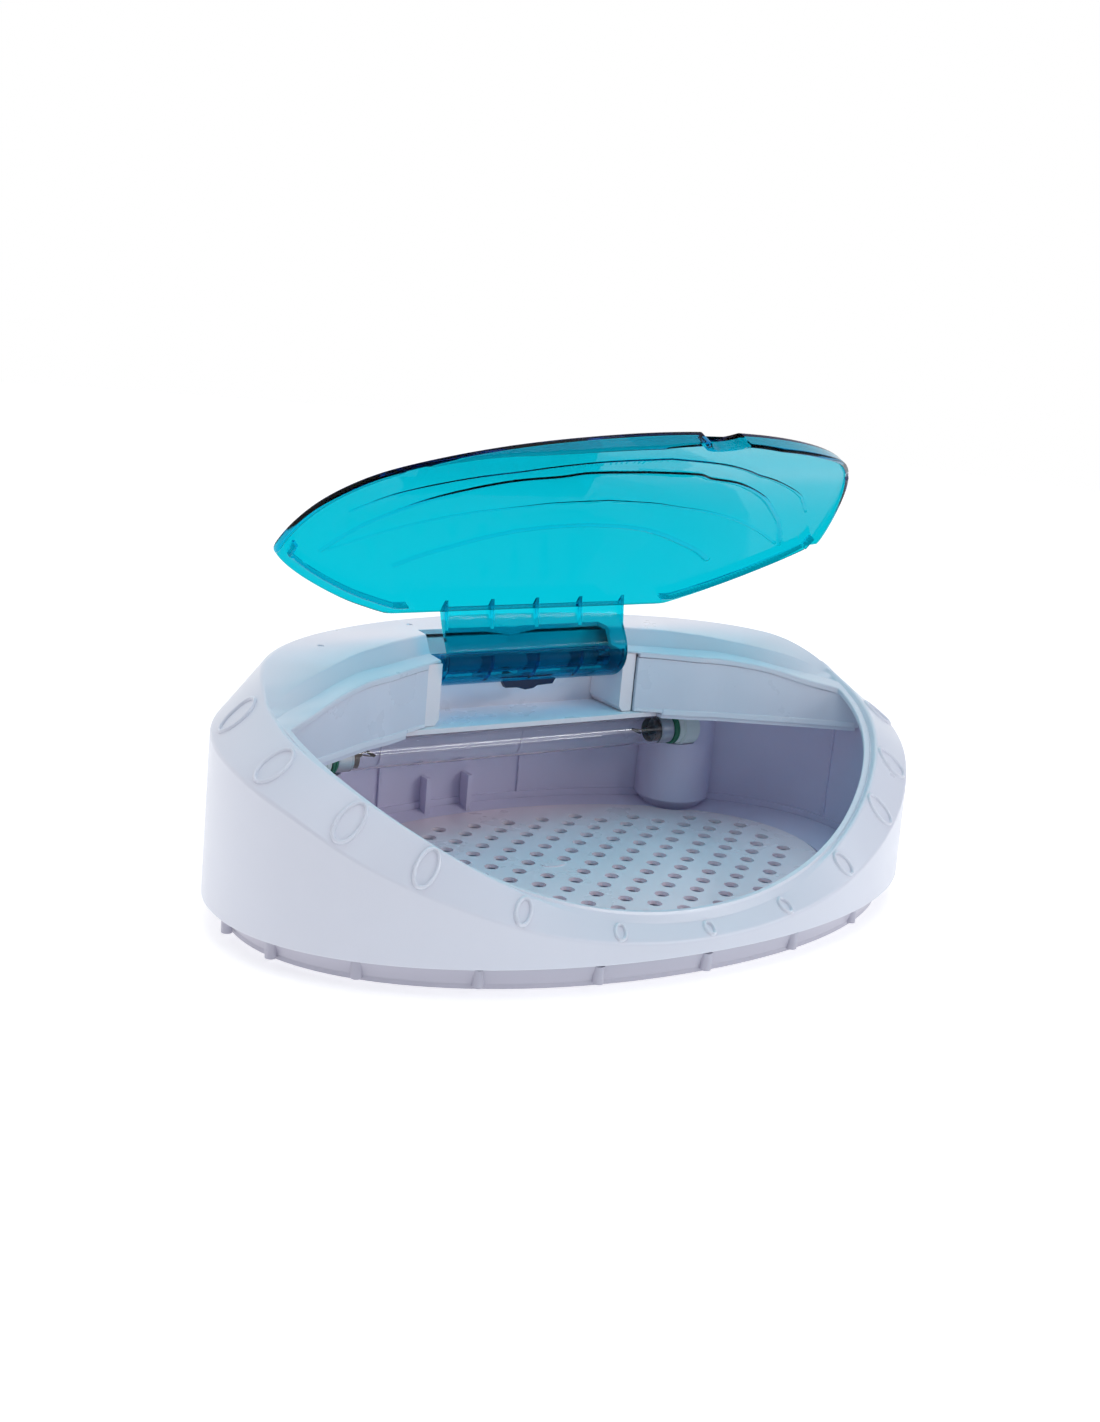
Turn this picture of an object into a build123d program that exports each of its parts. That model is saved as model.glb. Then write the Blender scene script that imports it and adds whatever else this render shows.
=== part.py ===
from build123d import *
import math
import os

os.makedirs("parts", exist_ok=True)

# ---------------------------------------------------------------- sizes, mm
# X to the right seen from the front, Y to the back, Z up, floor at z = 0.
WALL_A, WALL_B = 197.7, 121.0        # outer wall at the seam, half width and half depth
CREASE_A, CREASE_B = 196.4, 119.6    # crease between the wall and the bevel band
BAND_A, BAND_B = 171.8, 111.2        # top edge of the bevel band
MOUTH_A, MOUTH_B = 166.0, 104.8      # inner edge of the rim
SUPER_N = 2.06                       # exponent of the plan curves
SEAM_Z = 14.0                        # joint between casing and base pan
SKIN = 2.5                           # moulding thickness
LINER_A, LINER_B = 181.0, 107.0      # inside of the chamber wall
LINER_T = 2.2
FLOOR_Z = 11.0                       # top of the chamber floor
LEDGE_Z = 20.0                       # top of the ledge at the foot of the chamber wall
TRAY_A, TRAY_B = 150.0, 93.0         # loose tray, half width and half depth
TRAY_TOP = 15.0
TRAY_T = 2.0
HOLE_D = 7.5                         # holes in the tray
HOOD_Z = 79.0                        # underside level of the hood
BAY_HALF = 65.8                      # half width of the hinge bay
BAY_BACK = 79.5
SLOT_HALF = 57.2                     # half width of the opening in the top above it
HINGE_Y, HINGE_Z = 66.5, 108.5       # lid pivot
LID_OPEN = 65.0                      # degrees between shut and the pictured pose
LID_A, LID_B, LID_Y = 165.1, 120.9, -2.46   # front outline of the lid and its centre
LID_N = 2.03
LID_T = 2.4
LAMP_X, LAMP_Y, LAMP_Z = -5.5, 62.0, 64.5
LAMP_R = 7.9
GLASS_HALF = 97.0
CAP_L = 9.0
COL_X, COL_Y, COL_R = 121.4, 79.0, 22.0
COL_FOOT, COL_SHOULDER = 14.0, 19.5  # radius at the floor, height where the full radius begins
PLUNGER_Z = 95.0

# heights against y / half depth
KNOTS = [-1.0, -0.93, -0.8, -0.6, -0.35, 0.0, 0.45, 1.0]
Z_CREASE = [21.0, 27.5, 41.0, 58.2, 76.3, 88.6, 95.5, 99.0]
Z_BAND = [26.3, 35.0, 53.5, 74.4, 91.3, 105.6, 122.5, 126.5]
Z_MOUTH = [30.8, 38.2, 51.1, 70.4, 87.7, 102.8, 112.0, 114.0]


def monotone(xs, ys):
    n = len(xs)
    h = [xs[i + 1] - xs[i] for i in range(n - 1)]
    d = [(ys[i + 1] - ys[i]) / h[i] for i in range(n - 1)]
    m = [0.0] * n
    for i in range(1, n - 1):
        if d[i - 1] * d[i] > 0:
            w1, w2 = 2 * h[i] + h[i - 1], h[i] + 2 * h[i - 1]
            m[i] = (w1 + w2) / (w1 / d[i - 1] + w2 / d[i])
    m[0], m[-1] = d[0], d[-1]

    def at(x):
        x = min(max(x, xs[0]), xs[-1])
        i = 0
        while i < n - 2 and x > xs[i + 1]:
            i += 1
        t = (x - xs[i]) / h[i]
        return ((1 + 2 * t) * (1 - t) ** 2 * ys[i] + t * (1 - t) ** 2 * h[i] * m[i]
                + t * t * (3 - 2 * t) * ys[i + 1] + t * t * (t - 1) * h[i] * m[i + 1])
    return at


z_crease = monotone(KNOTS, Z_CREASE)
z_band = monotone(KNOTS, Z_BAND)
z_mouth = monotone(KNOTS, Z_MOUTH)
# hood front in plan: y against |x|
hood_y = monotone([0, 30, 56, 66, 80, 94, 108, 124, 140, 160, 166, 182],
                  [62.0, 58.5, 52.8, 48.6, 41.4, 34.0, 28.4, 19.2, 10.2, -1.2, -5.0, -15.0])
hood_z = monotone([-12, -4, 2, 10, 19, 30, 42, 62, 80], [100.8, 102.6, 104.4, 108.0, 111.4, 113.2, 114.2, 114.8, 115.0])
valley_z = monotone([0, 90, 107, 125, 145, 160, 170], [115.4, 115.2, 114.8, 112.8, 108.6, 105.6, 103.0])
upper_z = monotone([0, 80, 101, 125, 150, 168, 172], [124.5, 124.2, 122.8, 119.6, 114.8, 107.4, 105.5])


def radius(th, a, b, n=SUPER_N):
    return (abs(math.sin(th) / a) ** n + abs(math.cos(th) / b) ** n) ** (-1 / n)


def hood_radius(th, shift):
    lo, hi = 20.0, 260.0
    for _ in range(50):
        r = (lo + hi) / 2
        x, y = r * math.sin(th), -r * math.cos(th)
        if y < hood_y(abs(x)) + shift:
            lo = r
        else:
            hi = r
    return (lo + hi) / 2


def smooth(t, a, b):
    t = min(max((t - a) / (b - a), 0.0), 1.0)
    return t * t * (3 - 2 * t)


def rim(th):
    """Radii and heights of the band top, upper line, valley and mouth edge at polar angle th."""
    deg = math.degrees(th)
    w = smooth(deg, 86, 96)
    rb = radius(th, BAND_A, BAND_B)
    zb = z_band(-rb * math.cos(th) / BAND_B)
    re = radius(th, MOUTH_A, MOUTH_B)
    r5 = re if deg < 86 else min(re, hood_radius(th, 0.0))
    y5 = -r5 * math.cos(th)
    z5 = z_mouth(y5 / MOUTH_B) * (1 - w) + hood_z(y5) * w
    r4 = r5 + 3.2
    r3 = r5 + 3.9
    if deg >= 86:
        r4 = max(min(re + 3.2, hood_radius(th, 12.0)), r5 + 2.6)
        r3 = max(min(re + 3.9, hood_radius(th, 18.0)), r4 + 0.7)
    z4 = (z5 + 0.2) * (1 - w) + valley_z(r4 * math.sin(th)) * w
    z3 = (z5 - 1.0) * (1 - w) + upper_z(r3 * math.sin(th)) * w
    return rb, zb, r3, z3, r4, z4, r5, z5


def miter(p0, p1, p2, t):
    """Point at distance t to the right of the path p0-p1-p2."""
    def unit(a, b):
        d = math.hypot(b[0] - a[0], b[1] - a[1])
        return (b[0] - a[0]) / d, (b[1] - a[1]) / d
    u, v = unit(p0, p1), unit(p1, p2)
    n1, n2 = (-u[1], u[0]), (-v[1], v[0])
    k = 1 + n1[0] * n2[0] + n1[1] * n2[1]
    return p1[0] + t * (n1[0] + n2[0]) / k, p1[1] + t * (n1[1] + n2[1]) / k


def casing_section(th):
    rb, zb, r3, z3, r4, z4, r5, z5 = rim(th)
    rw = radius(th, WALL_A, WALL_B)
    rc = radius(th, CREASE_A, CREASE_B)
    zc = z_crease(-rc * math.cos(th) / CREASE_B)
    w = smooth(math.degrees(th), 86, 100)
    p0, p1, p2, p3 = (rw, SEAM_Z), (rc, zc), (rb, zb), (r3, z3)
    q1 = miter(p0, p1, p2, SKIN)
    q2 = miter(p1, p2, p3, SKIN)
    return [p0, p1, p2, p3, (r4, z4), (r5, z5), (r5, z5 - 3.2), (r5 + 1.9, z5 - 3.2), (r5 + 2.0, z5 - 2.4),
            (r4 + 0.3 + 1.0 * w, z4 - 2.5), (min(r3 + 0.5 + 0.7 * w, q2[0] - 0.25), z3 - 2.5), q2, q1,
            (rw - SKIN - 0.1, SEAM_Z)]


def at(th, r, z):
    return Vector(r * math.sin(th), -r * math.cos(th), z)


def ring_loft(section, angles):
    wires = [Wire.make_polygon([at(math.radians(a), r, z) for r, z in section(math.radians(a))], close=True)
             for a in angles]
    return Solid.make_loft(wires)


def both(part):
    return part + mirror(part, about=Plane.YZ)


def plan_face(a, b, n=SUPER_N, count=72, z=0.0):
    pts = []
    for k in range(count):
        t = 2 * math.pi * k / count
        r = radius(t, a, b, n)
        pts.append((r * math.sin(t), -r * math.cos(t), z))
    return Face(Wire([Edge.make_spline([Vector(*p) for p in pts], periodic=True)]))


def prism(face, height):
    return Solid.extrude(face, Vector(0, 0, height))


def poly_prism(pts, z0, z1):
    w = Wire.make_polygon([Vector(x, y, z0) for x, y in pts], close=True)
    return Solid.extrude(Face(w), Vector(0, 0, z1 - z0))


def tube_x(r, x0, x1, y, z):
    return Pos(x0, y, z) * Rot(0, 90, 0) * Cylinder(r, x1 - x0, align=(Align.CENTER, Align.CENTER, Align.MIN))


def block(x0, x1, y0, y1, z0, z1):
    return Pos((x0 + x1) / 2, (y0 + y1) / 2, (z0 + z1) / 2) * Box(x1 - x0, y1 - y0, z1 - z0)


def wall_frame(t, a, b, z, n=SUPER_N):
    """Plane on the outer wall at parameter t, x along the wall, z outward."""
    k = (abs(math.sin(t)) ** n + abs(math.cos(t)) ** n) ** (-1 / n)
    x, y = a * math.sin(t) * k, -b * math.cos(t) * k
    nx = math.copysign(abs(x / a) ** (n - 1) / a, x)
    ny = math.copysign(abs(y / b) ** (n - 1) / b, y)
    d = math.hypot(nx, ny)
    return Plane(origin=(x, y, z), x_dir=(-ny / d, nx / d, 0), z_dir=(nx / d, ny / d, 0))


PARTS = {}
rocker_plane = wall_frame(math.radians(180 - 20), WALL_A - 1.1, WALL_B - 1.2, 86.5)
gland_plane = wall_frame(math.radians(180 + 20), WALL_A - 1.1, WALL_B - 1.2, 86.5)

# ---------------------------------------------------------------- casing
# one moulding, held as five lengths that meet face to face
casing_front = both(ring_loft(casing_section, [0, 7, 14, 21, 28, 36, 44, 52]))
side = ring_loft(casing_section, [52, 60, 68, 76, 82, 86]) + ring_loft(casing_section, [86, 87.5, 89])
back = ring_loft(casing_section, [89, 92, 95, 98, 102, 107, 113, 120, 128, 137, 148, 160, 170, 180])
back -= block(-BAY_HALF, BAY_HALF, 20, BAY_BACK, 60, 113.6)
back -= block(-SLOT_HALF, SLOT_HALF, 20, BAY_BACK, 60, 150)
SEG = {"casing_front": casing_front, "casing_right": side, "casing_left": mirror(side, about=Plane.YZ),
       "casing_rear_right": back - rocker_plane * Box(19.4, 13.4, 24),
       "casing_rear_left": mirror(back, about=Plane.YZ) - gland_plane * Cylinder(5.1, 24)}
# raised oval rings on the bevel band
for deg in (0, 15.2, -15.2, 30.5, -30.5, 46.0, -46.0, 60.0, -60.0, 79.0, -79.0, 100.0, -100.0):
    t = math.radians(deg)
    o = Vector(*[(p + q) / 2 for p, q in zip(
        (CREASE_A * math.sin(t), -CREASE_B * math.cos(t), z_crease(-math.cos(t))),
        (BAND_A * math.sin(t), -BAND_B * math.cos(t), z_band(-math.cos(t))))])
    up = Vector(BAND_A * math.sin(t), -BAND_B * math.cos(t), z_band(-math.cos(t))) - Vector(
        CREASE_A * math.sin(t), -CREASE_B * math.cos(t), z_crease(-math.cos(t)))
    t2 = t + 0.03
    along = Vector(CREASE_A * math.sin(t2), -CREASE_B * math.cos(t2), z_crease(-math.cos(t2))) - Vector(
        CREASE_A * math.sin(t), -CREASE_B * math.cos(t), z_crease(-math.cos(t)))
    normal = along.cross(up).normalized()
    if normal.Z < 0:
        normal = normal * -1
    half = min(0.41 * up.length, 12.0)
    wide = min(0.29 * up.length + 3.0, 8.4)
    pl = Plane(origin=o - normal * 0.9, x_dir=along.normalized(), z_dir=normal)
    ring = extrude(pl * (Ellipse(wide, half) - Ellipse(wide - 1.7, half - 1.7)), 1.8)
    seg = "casing_front" if abs(deg) < 40 else ("casing_" if abs(deg) < 90 else "casing_rear_") + ("right" if deg > 0 else "left")
    SEG[seg] += ring
PARTS.update(SEG)

# ---------------------------------------------------------------- base pan
pan = prism(plan_face(186.2, 114.4, z=2.0), 2.4)
ring_out = Solid.make_loft([plan_face(186.2, 114.4, z=4.4).outer_wire(), plan_face(191.5, 116.6, z=SEAM_Z - 0.1).outer_wire()])
ring_in = Solid.make_loft([plan_face(183.6, 111.8, z=4.4).outer_wire(), plan_face(188.9, 114.0, z=SEAM_Z - 0.1).outer_wire()])
base = pan + (ring_out - ring_in)
for deg in (0, 17.6, 35.8, 55.7, 74.4, 91.7, 109, 127, 145, 162.5, 180, -17.6, -35.8, -55.7, -74.4, -91.7, -109, -127, -145, -162.5):
    t = math.radians(deg)
    nub = Pos(189.6 * math.sin(t), -115.4 * math.cos(t), 3.2) * Cylinder(2.7, 8.6, align=(Align.CENTER, Align.CENTER, Align.MIN))
    base += nub
for sx in (-1, 1):
    for sy in (-1, 1):
        base += block(sx * 100 - 5, sx * 100 + 5, sy * 62 - 5, sy * 62 + 5, 4.2, 8.6)
        base -= Pos(sx * 100, sy * 62, 0) * Cylinder(1.75, 12, align=(Align.CENTER, Align.CENTER, Align.MIN))
        base -= Pos(sx * 100, sy * 62, 1.9) * Cylinder(3.6, 1.7, align=(Align.CENTER, Align.CENTER, Align.MIN))
PARTS["base_pan"] = base

# ---------------------------------------------------------------- chamber liner


def under_casing(th, r):
    """Height of the casing's inner face above radius r."""
    chain = sorted(casing_section(th)[8:13])
    for (r0, z0), (r1, z1) in zip(chain, chain[1:]):
        if r0 <= r <= r1:
            return z0 + (z1 - z0) * (r - r0) / (r1 - r0)
    return chain[0][1] if r < chain[0][0] else chain[-1][1]


def liner_section(th):
    ro = radius(th, LINER_A + LINER_T, LINER_B + LINER_T)
    ri = radius(th, LINER_A, LINER_B)
    w = smooth(math.degrees(th), 92, 114)
    lip = rim(th)[7] - 3.2
    zi = min(under_casing(th, ri) - 0.9, lip - 0.5) * (1 - w) + 76.6 * w
    zo = min(under_casing(th, ro) - 0.9, lip - 0.5) * (1 - w) + 76.6 * w
    rl = radius(th, LINER_A - 1.35, LINER_B - 1.35)
    return [(ro, FLOOR_Z - 2.2), (ro, min(zo, zi)), (ri, zi), (ri, LEDGE_Z), (rl, LEDGE_Z), (rl, FLOOR_Z - 2.2)]


wall_right = ring_loft(liner_section, [0, 10, 20, 30, 40, 50, 60, 68, 76, 82, 87, 92, 97, 103, 109, 114, 125, 140, 155, 170, 180])
wall_left = mirror(wall_right, about=Plane.YZ)
# floor with a border that slopes up to the wall, round the tray
floor = prism(plan_face(LINER_A - 1.6, LINER_B - 1.6, z=FLOOR_Z - 2.2), 7.4)
floor -= prism(plan_face(TRAY_A + 3.5, TRAY_B + 1.6, z=FLOOR_Z), 2.05)
floor -= Solid.make_loft([plan_face(TRAY_A + 3.5, TRAY_B + 1.6, z=FLOOR_Z + 2.0).outer_wire(), plan_face(178.2, 104.9, z=FLOOR_Z + 5.3).outer_wire()])
PARTS["chamber_floor"] = floor
# two fins and thin ribs on the wall
for x in (-33.2, -6.8):
    wall_left += (block(x - 1.4, x + 1.4, 97.6, 106.4, FLOOR_Z + 0.5, 35) & prism(plan_face(LINER_A - 0.1, LINER_B - 0.1, z=10), 30)) - floor
wall_left += block(-63.8, -62.2, 99.0, 102.2, 20.1, 76.6)
wall_right += block(29.2, 30.8, 104.4, 107.2, 20.1, 76.6)
wall_right += block(179.4, 181.8, 8.2, 9.8, 20.1, 76.6)
wall_left += block(-181.8, -179.4, 8.2, 9.8, 20.1, 76.6)
PARTS["chamber_wall_right"] = wall_right
PARTS["chamber_wall_left"] = wall_left
# hollow half-round columns that carry the lamp holders, drawn in at the foot
low = prism(plan_face(179.3, 105.3, z=0), 20.2)
high = prism(plan_face(LINER_A - 0.2, LINER_B - 0.2, z=20.2), 60)
for name, s in (("right", 1), ("left", -1)):
    hollow = Pos(s * COL_X, COL_Y, COL_SHOULDER) * Cylinder(COL_R - 2.2, 60, align=(Align.CENTER, Align.CENTER, Align.MIN))
    post = Pos(s * COL_X, COL_Y, COL_SHOULDER) * Cylinder(COL_R, 76.6 - COL_SHOULDER, align=(Align.CENTER, Align.CENTER, Align.MIN))
    post += Pos(s * COL_X, COL_Y, FLOOR_Z + 0.05) * Cone(COL_FOOT, COL_R, COL_SHOULDER - FLOOR_Z - 0.05, align=(Align.CENTER, Align.CENTER, Align.MIN))
    post -= hollow
    post = (post & low) + (post & high) - floor
    x0, x1 = sorted((s * 90, LAMP_X + s * (GLASS_HALF + CAP_L + 17.4)))
    post -= tube_x(10.2, x0, x1, LAMP_Y, LAMP_Z)
    PARTS["chamber_column_" + name] = max(post.solids(), key=lambda q: q.volume)

# ---------------------------------------------------------------- perforated tray
tray_face = plan_face(TRAY_A, TRAY_B, z=TRAY_TOP - TRAY_T)
tray = prism(tray_face, TRAY_T)
for sx in (-1, 1):
    tray -= Pos(sx * COL_X, COL_Y, 5) * Cylinder(COL_R + 0.8, 20, align=(Align.CENTER, Align.CENTER, Align.MIN))
holes = []
for i in range(-22, 16):
    for j in range(-14, 22):
        x = -1.83 + 10.41 * i + 11.22 * j
        y = -50.96 - 10.50 * i + 9.56 * j
        if (x / 141) ** 2 + ((y + 2) / 77) ** 2 > 1 or (i, j) == (-3, 2):
            continue
        if math.hypot(abs(x) - COL_X, y - COL_Y) < COL_R + 6:
            continue
        holes.append(Location((x, y, 0)))
holes_sk = Sketch() + [loc * Circle(HOLE_D / 2) for loc in holes]
tray -= Pos(0, 0, 5) * extrude(holes_sk, 20)
tray += Pos(-9.6, 3.9, TRAY_TOP - 0.2) * extrude(Ellipse(7.2, 4.2), 0.7)
for x, y in ((0, -86), (0, 86), (138, -20), (-138, -20), (90, -66), (-90, -66), (70, 74), (-70, 74)):
    tray += Pos(x, y, FLOOR_Z + 0.05) * Cylinder(2.6, 2.2, align=(Align.CENTER, Align.CENTER, Align.MIN))
PARTS["tray"] = tray

# ---------------------------------------------------------------- hood: pan, front panels, hinge bay


def hood_region(shift, a, b, x0=0.0):
    """Plan face behind the hood front curve and inside the ellipse, right half."""
    pts = []
    x = x0
    while x < 190:
        y = hood_y(x) + shift
        if (x / a) ** SUPER_N + (abs(y) / b) ** SUPER_N > 1:
            break
        pts.append((x, y))
        x += 3.0
    t0 = math.degrees(math.atan2(pts[-1][0], -pts[-1][1]))
    k = 24
    arc = []
    for n in range(k + 1):
        t = math.radians(t0 + 1.2 + (180 - t0 - 1.2) * n / k)
        r = radius(t, a, b)
        q = (r * math.sin(t), -r * math.cos(t))
        if q[0] >= x0:
            arc.append(q)
    return pts + arc


def under_section(drop):
    def f(th):
        z = rim(th)[7] - drop
        zo = min(z, under_casing(th, 181.0) - 1.2)
        return [(30, 60), (181, 60), (181, zo), (171, z), (30, z)]
    return f


half_pan = poly_prism(hood_region(1.2, 180.2, 106.2), HOOD_Z - 1.8, HOOD_Z)
hood_pan = both(half_pan) - block(-80.4, 80.4, 20, 83, 60, 100)
PARTS["hood_pan"] = hood_pan

below_lip = ring_loft(under_section(3.5), [86, 89, 92, 95, 98, 102, 107, 113, 120, 128, 137, 148])
band_pts = [(x, hood_y(x) + 0.7) for x in [66.1 + 3.2 * k for k in range(36)]]
band_pts = [p for p in band_pts if (p[0] / 179.6) ** SUPER_N + (abs(p[1]) / 105.6) ** SUPER_N < 1 and p[0] < 178.5]
band_back = [(x, y + 2.2) for x, y in band_pts]
panel = poly_prism(band_pts + band_back[::-1], HOOD_Z + 0.15, 125)
panel = panel & below_lip
flange_pts = [(x, y + 0.0) for x, y in band_pts if x >= 81]
flange = poly_prism(flange_pts + [(x, y + 9) for x, y in flange_pts][::-1], HOOD_Z + 0.15, HOOD_Z + 1.8)
inner_ok = prism(plan_face(179.8, 105.8, z=60), 60)
panel_r = (panel + flange) & inner_ok
# the short stretch over the bay floor stands on its lip
panel_r -= block(60, 80.4, 20, 84, 70, 80.3)
PARTS["hood_panel_right"] = panel_r
PARTS["hood_panel_left"] = mirror(panel_r, about=Plane.YZ)

bay = block(-80, 80, 46.6, 82.6, 77.4, 80.0)
bay += block(-65.2, 65.2, 80.6, 82.6, 79.9, 119.8)
bay -= Pos(0, 81.5, PLUNGER_Z) * Rot(90, 0, 0) * Cylinder(2.4, 8)
PARTS["hinge_bay"] = bay

for name, s in (("bracket_right", 1), ("bracket_left", -1)):
    x0, x1 = 57.0, 65.2
    prof = [(x0 + 2.4, 80.3), (x1, 80.3), (x1, 113.2), (x0, 113.2), (x0, 83.4)]
    w = Wire.make_polygon([Vector(s * x, 51.0, z) for x, z in prof], close=True)
    br = Solid.extrude(Face(w), Vector(0, 29.2, 0))
    br -= tube_x(3.06, min(s * 50, s * 70), max(s * 50, s * 70), HINGE_Y, HINGE_Z)
    PARTS[name] = br

# ---------------------------------------------------------------- lid, built shut, then turned open
lid_rear = monotone([0, 85, 92, 100, 110, 121.7, 135, 146, 156, 164.6], [36.8, 36.8, 34.7, 31.5, 27.2, 21.0, 12.8, 5.0, -3.5, -13.0])
LID_SWEEP = 86.3
UNDER = [(-124, 31.5), (-116, 38.0), (-111, 42.4), (-103, 49.5), (-88, 61.9), (-66, 79.1), (-38.6, 94.1), (0, 107.2), (20, 112.2), (42, 115.9), (60, 117.9)]
under_y = monotone([p[0] for p in UNDER], [p[1] for p in UNDER])


def lid_front(th):
    """Middle of the skirt, where the curved plate ends."""
    r = radius(th, LID_A - 1.1, LID_B - 1.1, LID_N)
    return r * math.sin(th), LID_Y - r * math.cos(th)


def lid_low(y):
    """Free edge of the skirt."""
    return min(z_band(max(y / LID_B, -1.0)) - 1.3, under_y(y) - 0.8)


def lid_plan_face(z):
    arc = [Vector(*lid_front(math.radians(-LID_SWEEP + 2 * LID_SWEEP * k / 44)), z) for k in range(45)]
    rr = [arc[-1]] + [Vector(x, lid_rear(x), z) for x in (155, 146, 135, 121.7, 110, 100, 92, 85)]
    ll = [Vector(-v.X, v.Y, z) for v in rr[::-1]]
    ll[-1] = arc[0]
    return Face(Wire([Edge.make_spline(arc), Edge.make_spline(rr), Edge.make_line(rr[-1], ll[0]), Edge.make_spline(ll)]))


def sheet_solid(z_low, z_high, y_end=60.0, y_start=-124.0):
    """Extrusion across the lid between two height curves."""
    n = int((y_end - y_start) / 4)
    ys = [y_start + (y_end - y_start) * k / n for k in range(n + 1)]
    low = [Vector(-180, y, z_low(y)) for y in ys]
    high = [Vector(-180, y, z_high(y)) for y in ys]
    edges = [Edge.make_spline(low), Edge.make_line(low[-1], high[-1]), Edge.make_spline(high[::-1]),
             Edge.make_line(high[0], low[0])]
    return Solid.extrude(Face(Wire(edges)), Vector(360, 0, 0))


def skirt_section(th):
    r = radius(th, LID_A, LID_B, LID_N)
    yo, yi = LID_Y - r * math.cos(th), LID_Y - (r - 2.2) * math.cos(th)
    return [(r - 2.2, lid_low(yi)), (r, lid_low(yo)), (r, under_y(yo) + 2.0), (r - 2.2, under_y(yi) + 2.0)]


sheet = sheet_solid(under_y, lambda y: under_y(y) + LID_T * 1.12)
full = Solid.extrude(lid_plan_face(0), Vector(0, 0, 200))
skirt = Pos(0, LID_Y, 0) * both(ring_loft(skirt_section, [0, 9, 18, 27, 36, 45, 54, 62, 69, 75, 80, 84, LID_SWEEP]))
lid = (sheet & full) + skirt
# thumb notch in the middle of the front
notch_y = LID_Y - LID_B - 6.0
thumb = Pos(2, notch_y, 20) * (Cylinder(15.2, 30.0, align=(Align.CENTER, Align.CENTER, Align.MIN)) - Cylinder(12.0, 30.0, align=(Align.CENTER, Align.CENTER, Align.MIN)))
thumb = thumb & full & sheet_solid(lambda y: lid_low(y) + 0.5, lambda y: under_y(y) + 1.4, -80.0)
lid += thumb
lid -= Pos(2, notch_y, 10) * Cylinder(13.0, 29.0, align=(Align.CENTER, Align.CENTER, Align.MIN))
# seal ribs inside the rear edge, standing in front of the hood panels
rib_sheet = sheet_solid(lambda y: under_y(y) - 5.0, lambda y: under_y(y) + 1.0)
rib_x = [79, 88, 97, 106, 115, 124, 133, 142, 150, 157]
rib = [(x, lid_rear(x) - 9.0) for x in rib_x]
rib_back = [(x, lid_rear(x) - 7.0) for x in rib_x]
seal = poly_prism(rib + rib_back[::-1], 60, 140) & rib_sheet
seal += block(155.6, 157.2, -19.0, lid_rear(156.4) - 7.2, 60, 140) & rib_sheet
lid += seal + mirror(seal, about=Plane.YZ)
# arched ridges standing on the inner face: centre line as |x|, y, and width
ridge_sheet = sheet_solid(lambda y: under_y(y) - 1.3, lambda y: under_y(y) + 1.0)
RIDGES = [
    ([(0, -29.2), (17, -28), (34, -25.8), (50, -21.5), (70, -13.5), (85, -6.5), (97, 1)], 2.2),
    ([(0, -49.7), (32, -47), (44, -44.6), (68, -40.3), (77, -38), (97, -31.5), (120, -21), (136, -12)], 1.0),
    ([(0, -79), (32, -77.2), (44, -72.5), (62, -68.7), (94, -54.5), (114, -40), (125, -30.5), (134, -20), (140, -11)], 1.8),
    ([(0, -94.6), (28, -91), (38, -89), (57, -83), (71, -77), (80, -74), (100, -65.6), (120, -55), (137, -40)], 1.0),
]
for line, wide in RIDGES:
    f = monotone([p[0] for p in line], [p[1] for p in line])
    top = line[-1][0]
    mid = [(top * (-1 + 2 * k / 40), f(abs(top * (-1 + 2 * k / 40)))) for k in range(41)]
    front, rear = [], []
    for k, (x, y) in enumerate(mid):
        (xa, ya), (xb, yb) = mid[max(k - 1, 0)], mid[min(k + 1, 40)]
        d = math.hypot(xb - xa, yb - ya)
        nx, ny = -(yb - ya) / d * wide / 2, (xb - xa) / d * wide / 2
        front.append((x - nx, y - ny))
        rear.append((x + nx, y + ny))
    lid += poly_prism(front + rear[::-1], 30, 140) & ridge_sheet


def opened(part):
    return Pos(0, HINGE_Y, HINGE_Z) * Rot(-LID_OPEN, 0, 0) * Pos(0, -HINGE_Y, -HINGE_Z) * part


PARTS["lid_shell"] = opened(lid)

# hinge arm, drawn in the open pose: outer and inner path in (y, z)
c, s = math.cos(math.radians(LID_OPEN)), math.sin(math.radians(LID_OPEN))


def to_open(y, z):
    y, z = y - HINGE_Y, z - HINGE_Z
    return HINGE_Y + y * c + z * s, HINGE_Z - y * s + z * c


outer_path = [(57.9, 142.6), (55.6, 134.5), (52.0, 127.6), (48.4, 121.4), (46.8, 115.4), (48.0, 108.6), (52.6, 102.8), (60.0, 99.0), (66.5, 98.2)]
inner_path = [(66.5, 100.6), (60.9, 101.4), (54.5, 105.0), (50.5, 109.9), (49.3, 115.3), (50.8, 120.6), (54.4, 127.0), (58.0, 134.5), (60.2, 141.0)]
e1 = Edge.make_spline([Vector(-56, y, z) for y, z in outer_path])
e2 = Edge.make_spline([Vector(-56, y, z) for y, z in inner_path])
arm_face = Face(Wire([e1, Edge.make_line(Vector(-56, *outer_path[-1]), Vector(-56, *inner_path[0])), e2,
                      Edge.make_line(Vector(-56, *inner_path[-1]), Vector(-56, *outer_path[0]))]))
arm = Solid.extrude(arm_face, Vector(112, 0, 0))
arm += tube_x(6.0, -56, 56, HINGE_Y, HINGE_Z) - tube_x(4.4, -48, 48, HINGE_Y, HINGE_Z)
WEB = [(62.0, 99.2), (66.5, 98.8), (69.0, 103.2), (66.5, 112.5), (60.0, 114.0), (50.0, 116.5), (49.6, 111.0), (53.6, 105.6), (58.5, 101.8)]
for x in (-56.0, -29.0, -1.0, 27.0, 54.0):
    web = Wire.make_polygon([Vector(x, y, z) for y, z in WEB], close=True)
    arm += Solid.extrude(Face(web), Vector(2.0, 0, 0))
arm -= tube_x(3.06, -60, 60, HINGE_Y, HINGE_Z)
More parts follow.
